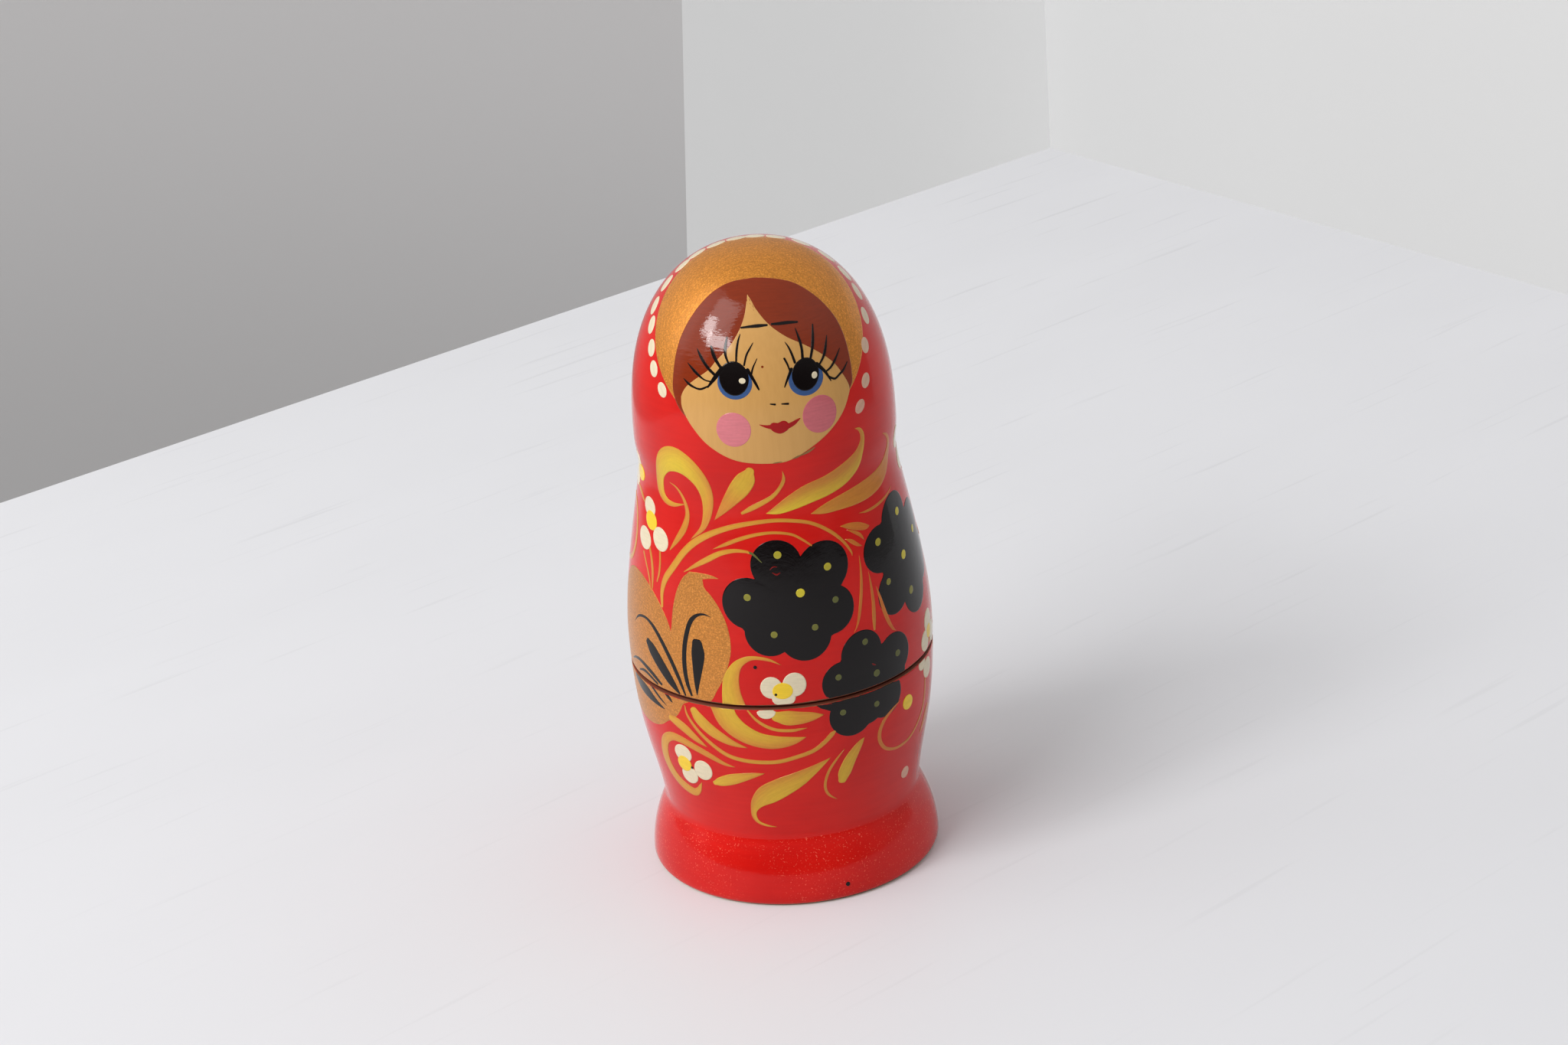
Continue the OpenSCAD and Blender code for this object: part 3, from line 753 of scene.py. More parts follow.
def on_head(doll, direction):
    """(theta, v) where a direction from the head's centre comes out of the doll."""
    tilt = np.arctan2(direction[..., 2], np.hypot(direction[..., 0], direction[..., 1]))
    return np.arctan2(direction[..., 0], -direction[..., 1]), doll.outline.v_seen(tilt)


def kerchief_band(film, doll, layer, core):
    """Gold disc round the face: a cone of directions from the head's centre."""

    def place(share, angle):
        return on_head(doll, head_direction(BAND_LEAN, BAND_TURN, share * math.radians(BAND_OPEN), -angle))

    lens(film, doll, BAND_REACH, place, layer, core, thick=0.3, circling=True)


def kerchief_dots(film, doll, layer, core):
    """Row of oval dots along a cone just outside the band, each long way on along the row."""
    along, wide = DOT_HALF[0] / HEAD_RADIUS / math.sin(math.radians(DOT_OPEN)), DOT_HALF[1] / HEAD_RADIUS

    def dot_place(degrees, stray):
        def place(share, angle):
            opening = math.radians(DOT_OPEN) + stray / HEAD_RADIUS - share * wide * np.sin(angle)
            turn = math.radians(degrees) + share * along * np.cos(angle)
            return on_head(doll, head_direction(DOT_LEAN, DOT_TURN, opening, turn))

        return place

    for degrees, stray, cover in DOTS:
        thinned = blend_colours(doll.paint.red, core, cover)
        lens(film, doll, DOT_HALF[0], dot_place(degrees, stray), layer, thinned)


class Signal:
    """A shader socket that takes part in Python sums; each operator adds a Math node."""

    def __init__(self, recipe, socket):
        self.recipe, self.socket = recipe, socket

    def maths(self, operation, first, second=0.0):
        return self.recipe.node("ShaderNodeMath", {"operation": operation}, {0: first, 1: second})

    def __abs__(self):
        return self.maths("ABSOLUTE", self)

    def __pow__(self, other):
        return self.maths("POWER", self, other)

    def __add__(self, other):
        return self.maths("ADD", self, other)

    __radd__ = __add__

    def __sub__(self, other):
        return self.maths("SUBTRACT", self, other)

    def __rsub__(self, other):
        return self.maths("SUBTRACT", other, self)

    def __mul__(self, other):
        return self.maths("MULTIPLY", self, other)

    __rmul__ = __mul__

    def __gt__(self, other):
        return self.maths("GREATER_THAN", self, other)

    def __lt__(self, other):
        return self.maths("LESS_THAN", self, other)


class Recipe:
    """A material under construction, with one way to add any node."""

    def __init__(self, name):
        self.material = bpy.data.materials.new(name)
        self.material.use_nodes = True
        self.tree = self.material.node_tree
        self.tree.nodes.clear()
        self.surface = self.tree.nodes.new("ShaderNodeBsdfPrincipled")
        out = self.tree.nodes.new("ShaderNodeOutputMaterial")
        self.tree.links.new(self.surface.outputs[0], out.inputs["Surface"])

    @classmethod
    def around(cls, tree):
        """Recipe that adds nodes to a tree that already has its end node, such as a world's."""
        recipe = cls.__new__(cls)
        recipe.tree = tree
        return recipe

    def feed(self, socket, value):
        if isinstance(value, Signal):
            self.tree.links.new(value.socket, socket)
        else:
            socket.default_value = value

    def node(self, kind, settings=None, inputs=None, output=0):
        """Any node: its settings first, then its sockets' values or links. Returns one of its outputs."""
        node = self.tree.nodes.new(kind)
        for key, value in (settings or {}).items():
            setattr(node, key, value)
        for key, value in (inputs or {}).items():
            self.feed(node.inputs[key], value)
        return Signal(self, node.outputs[output])

    def mix(self, share, first, second, blend="MIX"):
        """Mix of two colours."""
        settings = {"data_type": "RGBA", "blend_type": blend}
        first, second = (x if isinstance(x, Signal) else (*x, 1) for x in (first, second))
        return self.node("ShaderNodeMix", settings, {0: share, 6: first, 7: second}, 2)

    def place(self):
        """Object coordinates, in metres in the part's frame."""
        return self.node("ShaderNodeTexCoord", output="Object")

    def axis(self, vector, index):
        """One coordinate of a vector: 0, 1 or 2 for x, y or z."""
        return self.node("ShaderNodeSeparateXYZ", None, {0: vector}, index)

    def stretched(self, vector, scale):
        return self.node("ShaderNodeMapping", None, {"Vector": vector, "Scale": scale})

    def noise(self, vector, scale, detail=2.0):
        return self.node("ShaderNodeTexNoise", None, {"Vector": vector, "Scale": scale, "Detail": detail})

    def smooth(self, value, low, high):
        """Share of the way from low to high, eased at both ends."""
        inputs = {"Value": value, "From Min": low, "From Max": high}
        return self.node("ShaderNodeMapRange", {"interpolation_type": "SMOOTHSTEP"}, inputs)

    def bump(self, height, distance, strength):
        inputs = {"Height": height, "Distance": distance, "Strength": strength}
        return self.node("ShaderNodeBump", None, inputs)

    def finish(self, **sockets):
        for name, value in sockets.items():
            socket = self.surface.inputs[name.replace("_", " ").title().replace("Ior", "IOR")]
            self.feed(socket, (*value, 1) if isinstance(value, tuple) and len(value) == 3 else value)
        return self.material


def lime_wood(paint, form):
    """Bare lime wood: grain along the turning axis, dull, and painted shade of dark brown at the largest
    doll's seam.
    """
    mix = Recipe("lime_wood")
    place = mix.place()
    grain = mix.noise(mix.stretched(place, (900, 900, 40)), 1.0, 3)
    rings = mix.noise(mix.stretched(place, (120, 120, 6)), 1.0, 2)
    pale = mix.mix(grain * 0.5 + rings * 0.5, tuple(0.72 * c for c in paint.wood), tuple(paint.wood))
    side, depth, height = (mix.axis(place, index) for index in range(3))
    radius = (side * side + depth * depth) ** 0.5
    # Painted shade: the outer edges at the largest doll's seam are painted dark brown and dulled, for the
    # shade of the gap between the halves.
    near = abs(height - (form.seam_z + form.seam_gap / 2))
    seam_shade = (1 - mix.smooth(near, 0.3 * MM, 0.9 * MM)) * (radius > form.belly_d / 2 - 2 * MM)
    seam_shaded = mix.mix(seam_shade * 0.95, pale, linear(88, 22, 13))
    return mix.finish(
        base_color=seam_shaded,
        roughness=0.62,
        specular_ior_level=0.5 - seam_shade * 0.4,
        normal=mix.bump(grain, 0.05 * MM, 0.2),
    )


def red_lacquer(paint, form):
    """Red lacquer: faintly uneven brushing, fine bright specks on the foot, and a hard clear gloss."""
    mix = Recipe("red_lacquer")
    place = mix.place()
    cloud = mix.noise(place, 60, 3)
    brushed = mix.noise(mix.stretched(place, (90, 90, 1400)), 1.0, 2)
    red = tuple(paint.red)
    deep = tuple(0.88 * c for c in red)
    bright = (min(1.0, 1.07 * red[0]), 1.5 * red[1], 1.3 * red[2])
    body = mix.mix(mix.smooth(cloud * 0.8 + brushed * 0.2, 0.3, 0.7), deep, bright)
    grit = mix.noise(place, 3300, 1)
    height = mix.axis(place, 2)
    patchy = mix.smooth(mix.noise(place, 90, 1), 0.3, 0.6)
    speck = mix.smooth(grit, 0.63, 0.72) * (height < form.crease_z) * patchy * 0.45
    speckled = mix.mix(speck, body, linear(250, 120, 96))
    orange_peel = mix.noise(place, 420, 2)
    return mix.finish(
        base_color=speckled,
        roughness=0.12,
        specular_ior_level=GLOSS,
        normal=mix.bump(orange_peel + grit * 0.15, 0.05 * MM, 0.25),
    )


def metal_paint(name, tone):
    """Bronze powder in varnish: half metal, mottled by the brush, with a painted sparkle of bright flakes,
    under gloss.
    """
    mix = Recipe(name)
    place = mix.place()
    flake = mix.noise(place, 3600, 2)
    brush = mix.node("ShaderNodeAttribute", {"attribute_name": "brush"}, None, "Vector")
    streak = mix.noise(mix.stretched(brush, (0.5, 3, 1)), 1.0, 3)
    tone = tuple(tone)
    dark, light = tuple(0.8 * c for c in tone), tuple(min(1.0, 1.12 * c) for c in tone)
    body = mix.mix(mix.smooth(streak * 0.35 + flake * 0.65, 0.38, 0.62), dark, light)
    # Painted sparkle: some flakes are painted bright, up to the glint colour, for the glitter of the metal in
    # the light.
    painted_sparkle = mix.smooth(flake, 0.6, 0.72) * 0.6
    glint = tuple(min(1.0, gain * c) for gain, c in zip((1.5, 1.7, 1.9), tone))
    shining = mix.mix(painted_sparkle, body, glint)
    return mix.finish(
        base_color=shining,
        metallic=0.5,
        roughness=0.4,
        coat_weight=0.35,
        coat_roughness=0.12,
        coat_ior=1.4,
        specular_ior_level=0.15,
        normal=mix.bump(flake + streak * 0.5, 0.04 * MM, 0.3),
    )


def face_wood(paint):
    """Face of bare wood under lacquer: fine vertical grain."""
    mix = Recipe("face_wood")
    place = mix.place()
    grain = mix.noise(mix.stretched(place, (1500, 1500, 70)), 1.0, 3)
    cloud = mix.noise(place, 90, 2)
    tone = tuple(paint.face)
    dark, light = (0.97 * tone[0], 0.96 * tone[1], 0.94 * tone[2]), tuple(min(1.0, 1.03 * c) for c in tone)
    body = mix.mix(mix.smooth(grain * 0.6 + cloud * 0.4, 0.3, 0.66), dark, light)
    return mix.finish(
        base_color=body,
        roughness=0.18,
        specular_ior_level=GLOSS,
        normal=mix.bump(mix.noise(place, 420, 2) + grain * 0.15, 0.05 * MM, 0.25),
    )


def brush_paint(name="brush_paint", gloss=GLOSS, ridges=0.0):
    """Ornament paint: each film's own pigment, streaked along the brush, under the clear gloss.

    Ridges are fine brush marks that the gloss over them follows.
    """
    mix = Recipe(name)
    pigment = mix.node("ShaderNodeAttribute", {"attribute_name": "pigment"}, None, "Color")
    brush = mix.node("ShaderNodeAttribute", {"attribute_name": "brush"}, None, "Vector")
    streak = mix.noise(mix.stretched(brush, (0.35, 3.2, 1.0)), 1.0, 3)
    grain = mix.noise(mix.place(), 1800, 1)
    tint = mix.smooth(streak * 0.75 + grain * 0.25, 0.25, 0.75) * 0.15 + 0.925
    relief = mix.noise(mix.place(), 420, 3) + streak * 0.2
    if ridges:
        relief = relief + mix.noise(mix.stretched(mix.place(), (700, 700, 2200)), 1.0, 2) * ridges
    body = mix.mix(1.0, pigment, tint, "MULTIPLY")
    return mix.finish(
        base_color=body,
        roughness=0.08,
        specular_ior_level=gloss,
        normal=mix.bump(relief, 0.05 * MM, 0.35),
    )


def shared_material(name, make):
    """A material made once and used by every piece that names it."""
    return bpy.data.materials.get(name) or make()


def dolls(context):
    """The dolls of the set, from the largest to the smallest."""
    form, paint = context.scene.doll_form, context.scene.doll_paint
    count = sum(node.endswith(("_upper", "_whole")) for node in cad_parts)
    return [Doll(number, form, paint) for number in range(1, count + 1)]


class DOLL_OT_wood(bpy.types.Operator):
    """Give the turned solids their bare wood"""

    bl_idname = "doll.wood"
    bl_label = "Bare wood"

    def execute(self, context):
        paint, form = context.scene.doll_paint, context.scene.doll_form
        material = shared_material("lime_wood", lambda: lime_wood(paint, form))
        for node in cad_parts.values():
            node.data.materials.clear()
            node.data.materials.append(material)
        return {"FINISHED"}


class DOLL_OT_coats(bpy.types.Operator):
    """Coat the outside of every half with red lacquer"""

    bl_idname = "doll.coats"
    bl_label = "Red coats"

    # Where the coat begins above the foot's flat, and how far its inside lies in the wood.
    FOOT_START = 1.0
    SINK = 0.04
    # Rows of points in from an edge, and the share of the coat's height at the first three of them.
    EDGE_STEPS = (0, 0.02, 0.12, 0.4)
    EDGE_HEIGHTS = (0.0, 0.6, 0.9)
    # Waves of a worn edge: how many go round, and their depth.
    CHIPS = ((9, 0.05), (23, 0.06), (61, 0.05), (97, 0.04))

    def execute(self, context):
        paint, form = context.scene.doll_paint, context.scene.doll_form
        material = shared_material("red_lacquer", lambda: red_lacquer(paint, form))
        for doll in dolls(context):
            if doll.whole:
                self.coat(doll, self.FOOT_START, None, doll.upper, material)
            else:
                self.coat(doll, self.FOOT_START, doll.lower_rim, doll.lower, material)
                self.coat(doll, doll.upper_rim, None, doll.upper, material)
        return {"FINISHED"}

    def chipped(self, theta, start):
        """Worn edge of the coat at the seam: a sum of sines round the doll, drawn back from the edge."""
        waves = sum(depth * (1 + np.sin(count * theta + start * count)) for count, depth in self.CHIPS)
        return waves * 0.5

    def coat(self, doll, low, high, body, material):
        """Band of the outline between two distances, or up to the crown, with a thin edge at each end."""
        around = int(np.clip(240 * doll.thin, 120, 240))
        theta = np.arange(around) / around * 2 * math.pi
        end = doll.outline.v[-1] if high is None else high
        steps = math.ceil((end - low) * 1.3 * doll.thin)
        share = np.linspace(0, 1, steps)[1:-1]
        inset = np.array(self.EDGE_STEPS) / (end - low)
        low_edge = low + np.zeros(around)
        high_edge = end + np.zeros(around)
        if low == doll.upper_rim:
            low_edge = low_edge + self.chipped(theta, 0.7)
        if high is not None:
            high_edge = high_edge - self.chipped(theta, 2.1)
        if high is None:
            along = np.concatenate([[1 - 0.15 / (end - low)], share[::-1], inset[::-1]])
        else:
            along = np.concatenate([1 - inset, share[::-1], inset[::-1]])
        v = low_edge + (high_edge - low_edge) * along[:, None]
        height = np.full(len(along), doll.coat())
        height[-3:] *= self.EDGE_HEIGHTS[::-1]
        if high is not None:
            height[:3] *= self.EDGE_HEIGHTS
        outside = doll.lay(theta, v, height[:, None])
        inside = doll.lay(theta, v, np.full((len(along), 1), -self.SINK * MM * doll.thin))[::-1]
        film = Film()
        if high is None:
            poles = [doll.lay(0.0, end, h) for h in (doll.coat(), -self.SINK * MM * doll.thin)]
            film.add(np.concatenate([outside, inside]), poles)
        else:
            film.add(np.concatenate([outside, inside]))
        film.build(f"{body}_red_coat", body, material)


class DOLL_OT_kerchiefs(bpy.types.Operator):
    """Lay the gold band of the kerchief and the bronze leaf beside the seam"""

    bl_idname = "doll.kerchiefs"
    bl_label = "Gold band and bronze leaf"

    def execute(self, context):
        paint = context.scene.doll_paint
        gold = shared_material("gold_paint", lambda: metal_paint("gold_paint", paint.gold))
        bronze = shared_material("bronze_paint", lambda: metal_paint("bronze_paint", paint.bronze))
        for doll in dolls(context):
            band = Film()
            kerchief_band(band, doll, METAL, paint.gold)
            band.build(f"{doll.upper}_band", doll.upper, gold)
            leaf = Film()
            rest = leaf if doll.whole else Film()
            for side in (doll, doll.seen_from_behind()):
                for middle, edge in UPPER_LEAF:
                    patch(leaf, side, middle, edge, METAL, paint.bronze, doll.upper_limits)
                stroke(leaf, side, UPPER_LEAF_TIP, METAL, (paint.bronze, paint.bronze))
                for middle, edge in LOWER_LEAF:
                    patch(rest, side, middle, edge, METAL, paint.bronze, doll.lower_limits)
            leaf.build(f"{doll.upper}_leaf", doll.upper, bronze)
            if not doll.whole:
                rest.build(f"{doll.lower}_leaf", doll.lower, bronze)
        return {"FINISHED"}


class DOLL_OT_faces(bpy.types.Operator):
    """Paint the hair, the face and its features"""

    bl_idname = "doll.faces"
    bl_label = "Faces"

    def execute(self, context):
        paint = context.scene.doll_paint
        wood = shared_material("face_wood", lambda: face_wood(paint))
        glossy = shared_material("hair_paint", lambda: brush_paint("hair_paint", HAIR_GLOSS, HAIR_RIDGES))
        brushed = shared_material("brush_paint", brush_paint)
        smudged = blend_colours(paint.face, paint.black, 0.6)
        for doll in dolls(context):
            face = Film()
            patch(face, doll, FACE_MIDDLE, FACE_EDGE, LIGHT, paint.face)
            face.build(f"{doll.upper}_face", doll.upper, wood)
            hair = Film()
            patch(hair, doll, HAIR_MIDDLE, HAIR_EDGE, DARK, paint.hair, thick=0.2)
            hair.build(f"{doll.upper}_hair", doll.upper, glossy)
            features = Film()
            for *cheek, deep in CHEEKS:
                oval(features, doll, cheek, SPOT, blend_colours(paint.cheek, paint.lips, deep))
            for iris, pupil, glint in EYES:
                oval(features, doll, iris, SPOT, paint.iris)
                oval(features, doll, pupil, CENTRE, paint.black)
                oval(features, doll, glint, FINE, paint.white)
            for lash in LASHES:
                stroke(features, doll, lash, FINE, (paint.black, paint.black))
            patch(features, doll, LIPS_MIDDLE, LIPS_EDGE, SPOT, paint.lips)
            for corner in LIPS_CORNERS:
                stroke(features, doll, corner, SPOT, (paint.lips, paint.lips))
            a, v, r = FACE_SPECK
            oval(features, doll, (a, v, r, r), SPOT, paint.hair)
            for smudge in FACE_SMUDGES:
                stroke(features, doll, smudge, SPOT, (smudged, smudged))
            kerchief_dots(features, doll, DARK, paint.white)
            features.build(f"{doll.upper}_features", doll.upper, brushed)
        return {"FINISHED"}


class DOLL_OT_ornament(bpy.types.Operator):
    """Paint the scrolls, berries and flowers, in front and again at the back"""

    bl_idname = "doll.ornament"
    bl_label = "Scrolls, berries and flowers"

    def execute(self, context):
        brushed = shared_material("brush_paint", brush_paint)
        for doll in dolls(context):
            upper = Film()
            lower = upper if doll.whole else Film()
            for side in (doll, doll.seen_from_behind()):
                self.paint_upper(upper, side)
                self.paint_lower(lower, side)
            self.flaws(upper, doll, UPPER_SPECKS, SCUFFS)
            self.flaws(lower, doll, LOWER_SPECKS, ())
            upper.build(f"{doll.upper}_ornament", doll.upper, brushed)
            if not doll.whole:
                lower.build(f"{doll.lower}_ornament", doll.lower, brushed)
        return {"FINISHED"}

    def paint_upper(self, film, doll):
        self.black(film, doll, doll.upper_limits, UPPER_VEINS, UPPER_BERRIES)
        self.bright(film, doll, doll.upper_limits, UPPER_SCROLLS, UPPER_PETALS, UPPER_MIDDLES)
        stroke(film, doll, BERRY_STEM, LIGHT, (doll.paint.olive, doll.paint.olive))

    def paint_lower(self, film, doll):
        self.black(film, doll, doll.lower_limits, LOWER_VEINS, () if doll.whole else LOWER_BERRIES)
        self.bright(film, doll, doll.lower_limits, LOWER_SCROLLS, LOWER_PETALS, LOWER_MIDDLES)
        oval(film, doll, LONE_DOT, SPOT, blend_colours(doll.paint.red, doll.paint.white, 0.6))

    def black(self, film, doll, limits, veins, berries):
        """Veins of the leaf, and berries with their dots."""
        paint = doll.paint
        for vein in veins:
            stroke(film, doll, vein, DARK, (paint.black, paint.black), limits=limits)
        for lobes, middle, dots in berries:
            berry(film, doll, lobes, middle, DARK, paint.black, limits)
            for a, v, r, bright in dots:
                tone = blend_colours(paint.olive, paint.lime, bright)
                oval(film, doll, (a, v, r, r), SPOT, tone, limits)

    def bright(self, film, doll, limits, scrolls, petals, middles):
        """Scrolls, then flowers: white petals and a yellow middle over them."""
        paint = doll.paint
        for points, tones, shade in scrolls:
            stroke(film, doll, points, LIGHT, (paint.ochre, paint.straw), tones, shade, limits)
        for petal in petals:
            oval(film, doll, petal, SPOT, paint.white, limits, thick=0.7)
        for middle in middles:
            oval(film, doll, middle, CENTRE, paint.yellow, limits, thick=0.7)

    def flaws(self, film, doll, specks, scuffs):
        """Dark specks, and scuffs where the red shows dimly."""
        paint = doll.paint
        worn = blend_colours(paint.black, paint.red, 0.3)
        for a, v, r in specks:
            oval(film, doll, (a, v, r, r), FINE, paint.black)
        for scuff in scuffs:
            stroke(film, doll, scuff, SPOT, (worn, worn))


def plane(name, corners, material):
    """Flat four-cornered surface of the stage."""
    mesh = bpy.data.meshes.new(name)
    mesh.from_pydata(corners, [], [(0, 1, 2, 3)])
    mesh.materials.append(material)
    surface = bpy.data.objects.new(name, mesh)
    bpy.context.scene.collection.objects.link(surface)


class DOLL_OT_stage(bpy.types.Operator):
    """Set the table, the walls, the light and the camera"""

    bl_idname = "doll.stage"
    bl_label = "Table, light and camera"

    CORNER = (0.0949, 0.4377)
    LEFT_EDGE, RIGHT_EDGE = -140.0, -56.0
    TABLE_SIDE = 2.2
    # The walls stand behind the table's edges, this many times as far from the camera.
    WALL_AWAY = 1.7
    WALL_LOW, WALL_HIGH = -0.1, 0.3
    # Light that the rest of the room throws on the walls.
    WALL_GLOW = 0.32
    # The grey wall has painted shade, darker downwards and to the left: how far to the left counts against
    # down, between which heights, and by how much.
    GREY_TILT = 0.42
    GREY_HEIGHTS = (-0.35, -0.05)
    GREY_SHADE = 0.25
    # Along the left wall: where its grey part begins, how that edge leans, and where the wall ends.
    GREY_START, GREY_LEAN, WALL_END = 0.148, -0.08, 0.6
    CAMERA = (0, -0.5257, 0.2803)
    PITCH, YAW, ROLL = 22.49, 0.22, -4.34
    FOCAL_PIXELS = 4200
    SENSOR = 36.0
    ROOM_TONE = (241, 241, 241)
    # Light of the room by direction: even, more from overhead, from the right and from the left, and by how
    # much it drops behind the viewer, and on the left behind the doll, before it and near the table.
    EVEN_GLOW, TOP_GLOW, RIGHT_GLOW, LEFT_GLOW = 0.5, 0.5, 0.3, 1.5
    VIEWER_DROP, BEHIND_DROP, BEFORE_DROP, LOW_DROP = 0.85, 0.5, 0.9, 0.7
    # Distance of the window, and the height on the doll that it faces.
    WINDOW_AWAY, WINDOW_AIM = 1.6, 0.08
    # Bright parts of one window: compass angle and rise of each in degrees, width and height against their
    # distance, and share of the power.
    WINDOW_PARTS = (
        (-44, 33, 0.42, 0.17, 0.45),
        (-62, 40, 0.19, 0.25, 0.28),
        (-51, 51, 0.42, 0.55, 0.24),
        (-76, 42, 0.8, 0.9, 0.2),
    )

    def execute(self, context):
        scene = context.scene
        self.table(scene.doll_stage)
        self.light(scene, scene.doll_stage)
        self.camera(scene)
        scene.view_settings.view_transform = "Standard"
        return {"FINISHED"}

    def table(self, stage):
        corner = np.array([*self.CORNER, 0])
        left, right = (
            np.array([math.cos(angle), math.sin(angle), 0])
            for angle in map(math.radians, (self.LEFT_EDGE, self.RIGHT_EDGE))
        )
        across, deep = left * self.TABLE_SIDE, right * self.TABLE_SIDE
        near = corner + across + deep
        plane("table", [corner, corner + across, near, corner + deep], self.table_top(stage))
        upright = np.array([0, 0, 1])
        grey_edge = (left * self.GREY_START, left * self.GREY_LEAN + upright)
        corner_edge = (np.zeros(3), upright)
        # Each wall's painted light towards the corner, and its painted shade low down.
        for name, corner_light, low_shade, tone, first, last in (
            ("left_wall", 1, self.GREY_SHADE, stage.left_wall, grey_edge, (left * self.WALL_END, upright)),
            ("back_wall", 1.04, 0, stage.back_wall, corner_edge, grey_edge),
            ("right_wall", 0.935, 0, stage.right_wall, corner_edge, (right * self.WALL_END, upright)),
        ):
            low = [corner + foot + rise * self.WALL_LOW for foot, rise in (first, last)]
            high = [corner + foot + rise * self.WALL_HIGH for foot, rise in (last, first)]
            points = self.CAMERA + (np.array(low + high) - self.CAMERA) * self.WALL_AWAY
            plane(name, points, self.wall(name, tuple(tone), corner_light, low_shade))

    def wall(self, name, tone, corner_light, low_shade):
        """Wall paint with painted light that makes it lighter or darker towards the soft corner behind the
        table, and painted shade low down.
        """
        mix = Recipe(name)
        place = mix.place()
        side, height = mix.axis(place, 0), mix.axis(place, 2)
        off = abs(side - self.CORNER[0] * self.WALL_AWAY)
        painted_light = mix.mix(mix.smooth(off, 0, 0.1), tuple(corner_light * c for c in tone), tone)
        # Painted shade: darker low down and to the left.
        low = 1 - mix.smooth(height + self.GREY_TILT * side, *self.GREY_HEIGHTS)
        shade = mix.mix(1.0, painted_light, 1 - low_shade * low, "MULTIPLY")
        return mix.finish(
            base_color=shade,
            roughness=0.9,
            emission_color=shade,
            emission_strength=self.WALL_GLOW,
        )

    def table_top(self, stage):
        """White table top with faint clouds, thin scratches along its left edge, and painted light that makes
        it lighter towards the back.
        """
        mix = Recipe("white_table")
        rotation = (0, 0, -math.radians(self.LEFT_EDGE))
        turned = mix.node("ShaderNodeMapping", None, {"Vector": mix.place(), "Rotation": rotation})
        cloud = mix.smooth(mix.noise(mix.stretched(turned, (8, 20, 1)), 1.0, 3), 0.3, 0.7)
        scratch = mix.smooth(mix.noise(mix.stretched(turned, (18, 420, 1)), 1.0, 2), 0.62, 0.76)
        worn, near, far = (tuple(gain * c for c in stage.table) for gain in (0.93, 0.97, 1.04))
        # Painted light: the top is painted lighter from the front towards the back.
        painted_light = mix.mix(mix.smooth(mix.axis(mix.place(), 1), -0.15, 0.4), near, far)
        shade = mix.mix(cloud * 0.25 + scratch * 0.75, painted_light, worn)
        return mix.finish(base_color=shade, roughness=0.5)

    def light(self, scene, stage):
        world = bpy.data.worlds.new("room")
        world.use_nodes = True
        sky = Recipe.around(world.node_tree)
        way = sky.node("ShaderNodeTexCoord", output="Generated")
        side, depth, rise = (sky.axis(way, index) for index in range(3))
        overhead = sky.smooth(rise, 0.05, 0.75)
        behind_viewer = sky.smooth(0 - depth, 0.1, 0.8) * (1 - overhead)
        behind_doll = sky.smooth(depth, 0, 0.5)
        before_doll = sky.smooth(0 - depth, 0.05, 0.3)
        low = 1 - sky.smooth(rise, 0, 0.3)
        right = self.RIGHT_GLOW * sky.smooth(side, 0.3, 0.9)
        left = self.LEFT_GLOW * sky.smooth(0 - side, 0.3, 0.9)
        drops = (self.BEHIND_DROP, behind_doll), (self.BEFORE_DROP, before_doll), (self.LOW_DROP, low)
        for drop, where in drops:
            left = left * (1 - drop * where)
        glow = self.EVEN_GLOW + self.TOP_GLOW * overhead + right + left
        glow = glow * (1 - self.VIEWER_DROP * behind_viewer) * stage.room
        background = world.node_tree.nodes["Background"]
        background.inputs["Color"].default_value = (*linear(*self.ROOM_TONE), 1)
        sky.feed(background.inputs["Strength"], glow)
        scene.world = world
        for compass, climb, width, tall, share in self.WINDOW_PARTS:
            around, rise = math.radians(compass), math.radians(climb)
            level = math.cos(rise)
            away = Vector((math.sin(around) * level, -math.cos(around) * level, math.sin(rise)))
            lamp = bpy.data.lights.new("window", "AREA")
            lamp.shape = "RECTANGLE"
            lamp.size, lamp.size_y = width * self.WINDOW_AWAY, tall * self.WINDOW_AWAY
            lamp.energy = stage.window * share
            window = bpy.data.objects.new("window", lamp)
            window.location = away * self.WINDOW_AWAY + Vector((0, 0, self.WINDOW_AIM))
            window.rotation_euler = away.to_track_quat("Z", "Y").to_euler()
            scene.collection.objects.link(window)

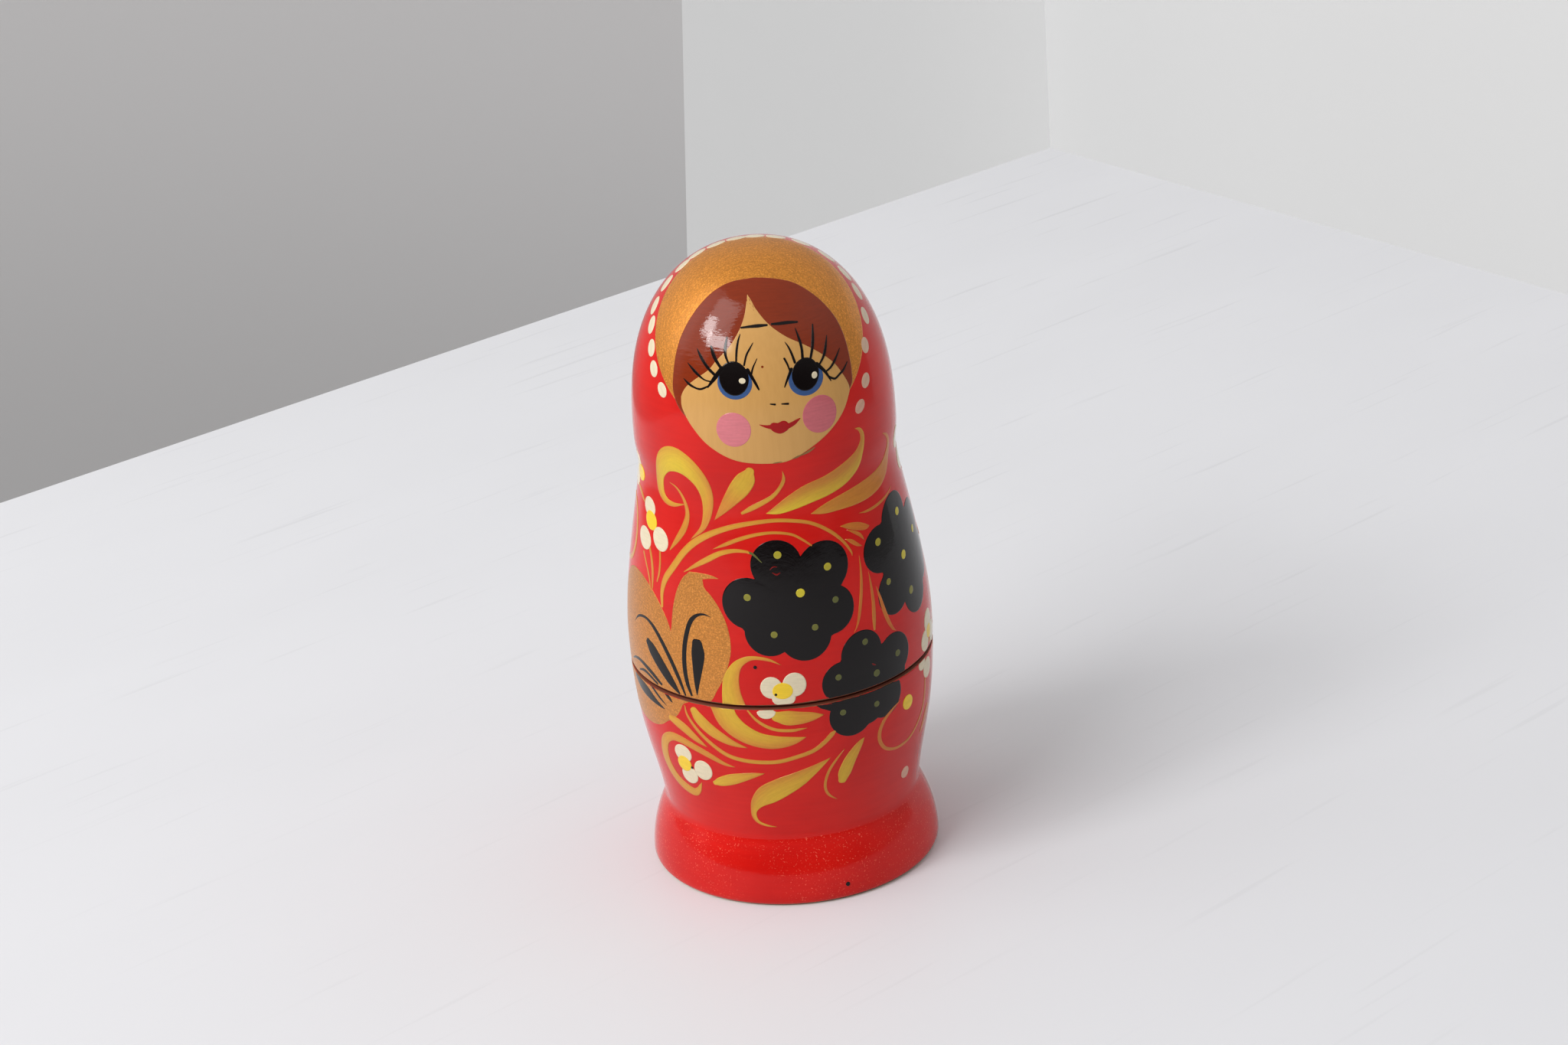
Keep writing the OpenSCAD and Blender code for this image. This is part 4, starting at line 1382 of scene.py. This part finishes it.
    def camera(self, scene):
        pitch, yaw, roll = (math.radians(x) for x in (self.PITCH, self.YAW, self.ROLL))
        look = Vector((math.cos(pitch) * math.sin(yaw), math.cos(pitch) * math.cos(yaw), -math.sin(pitch)))
        level = look.cross(Vector((0, 0, 1))).normalized()
        over = level.cross(look)
        right = math.cos(roll) * level + math.sin(roll) * over
        up = -math.sin(roll) * level + math.cos(roll) * over
        view = bpy.data.cameras.new("camera")
        view.sensor_width = self.SENSOR
        view.lens = self.FOCAL_PIXELS * self.SENSOR / PHOTO_SIZE[0]
        view.clip_start = 0.01
        camera = bpy.data.objects.new("camera", view)
        turned = Matrix((right, up, -look)).transposed().to_4x4()
        camera.matrix_world = Matrix.Translation(self.CAMERA) @ turned
        scene.collection.objects.link(camera)
        scene.camera = camera


class DOLL_PT_paint(bpy.types.Panel):
    """Sizes, colours and steps of the painted set"""

    bl_label = "Nesting dolls"
    bl_space_type = "VIEW_3D"
    bl_region_type = "UI"
    bl_category = "Dolls"

    def draw(self, context):
        for group in (context.scene.doll_form, context.scene.doll_paint, context.scene.doll_stage):
            box = self.layout.box()
            for name in group.__annotations__:
                box.prop(group, name)
        for operator in OPERATORS:
            self.layout.operator(operator.bl_idname)


GROUPS = {"doll_form": DollForm, "doll_paint": DollPaint, "doll_stage": TableStage}
OPERATORS = (DOLL_OT_wood, DOLL_OT_coats, DOLL_OT_kerchiefs, DOLL_OT_faces, DOLL_OT_ornament, DOLL_OT_stage)
CLASSES = (*GROUPS.values(), *OPERATORS, DOLL_PT_paint)


def register():
    for cls in CLASSES:
        bpy.utils.register_class(cls)
    for name, group in GROUPS.items():
        setattr(bpy.types.Scene, name, PointerProperty(type=group))


def unregister():
    for name in GROUPS:
        delattr(bpy.types.Scene, name)
    for cls in reversed(CLASSES):
        bpy.utils.unregister_class(cls)


def main():
    register()
    bpy.ops.doll.wood()
    bpy.ops.doll.coats()
    bpy.ops.doll.kerchiefs()
    bpy.ops.doll.faces()
    bpy.ops.doll.ornament()
    bpy.ops.doll.stage()


if __name__ == "__main__":
    main()
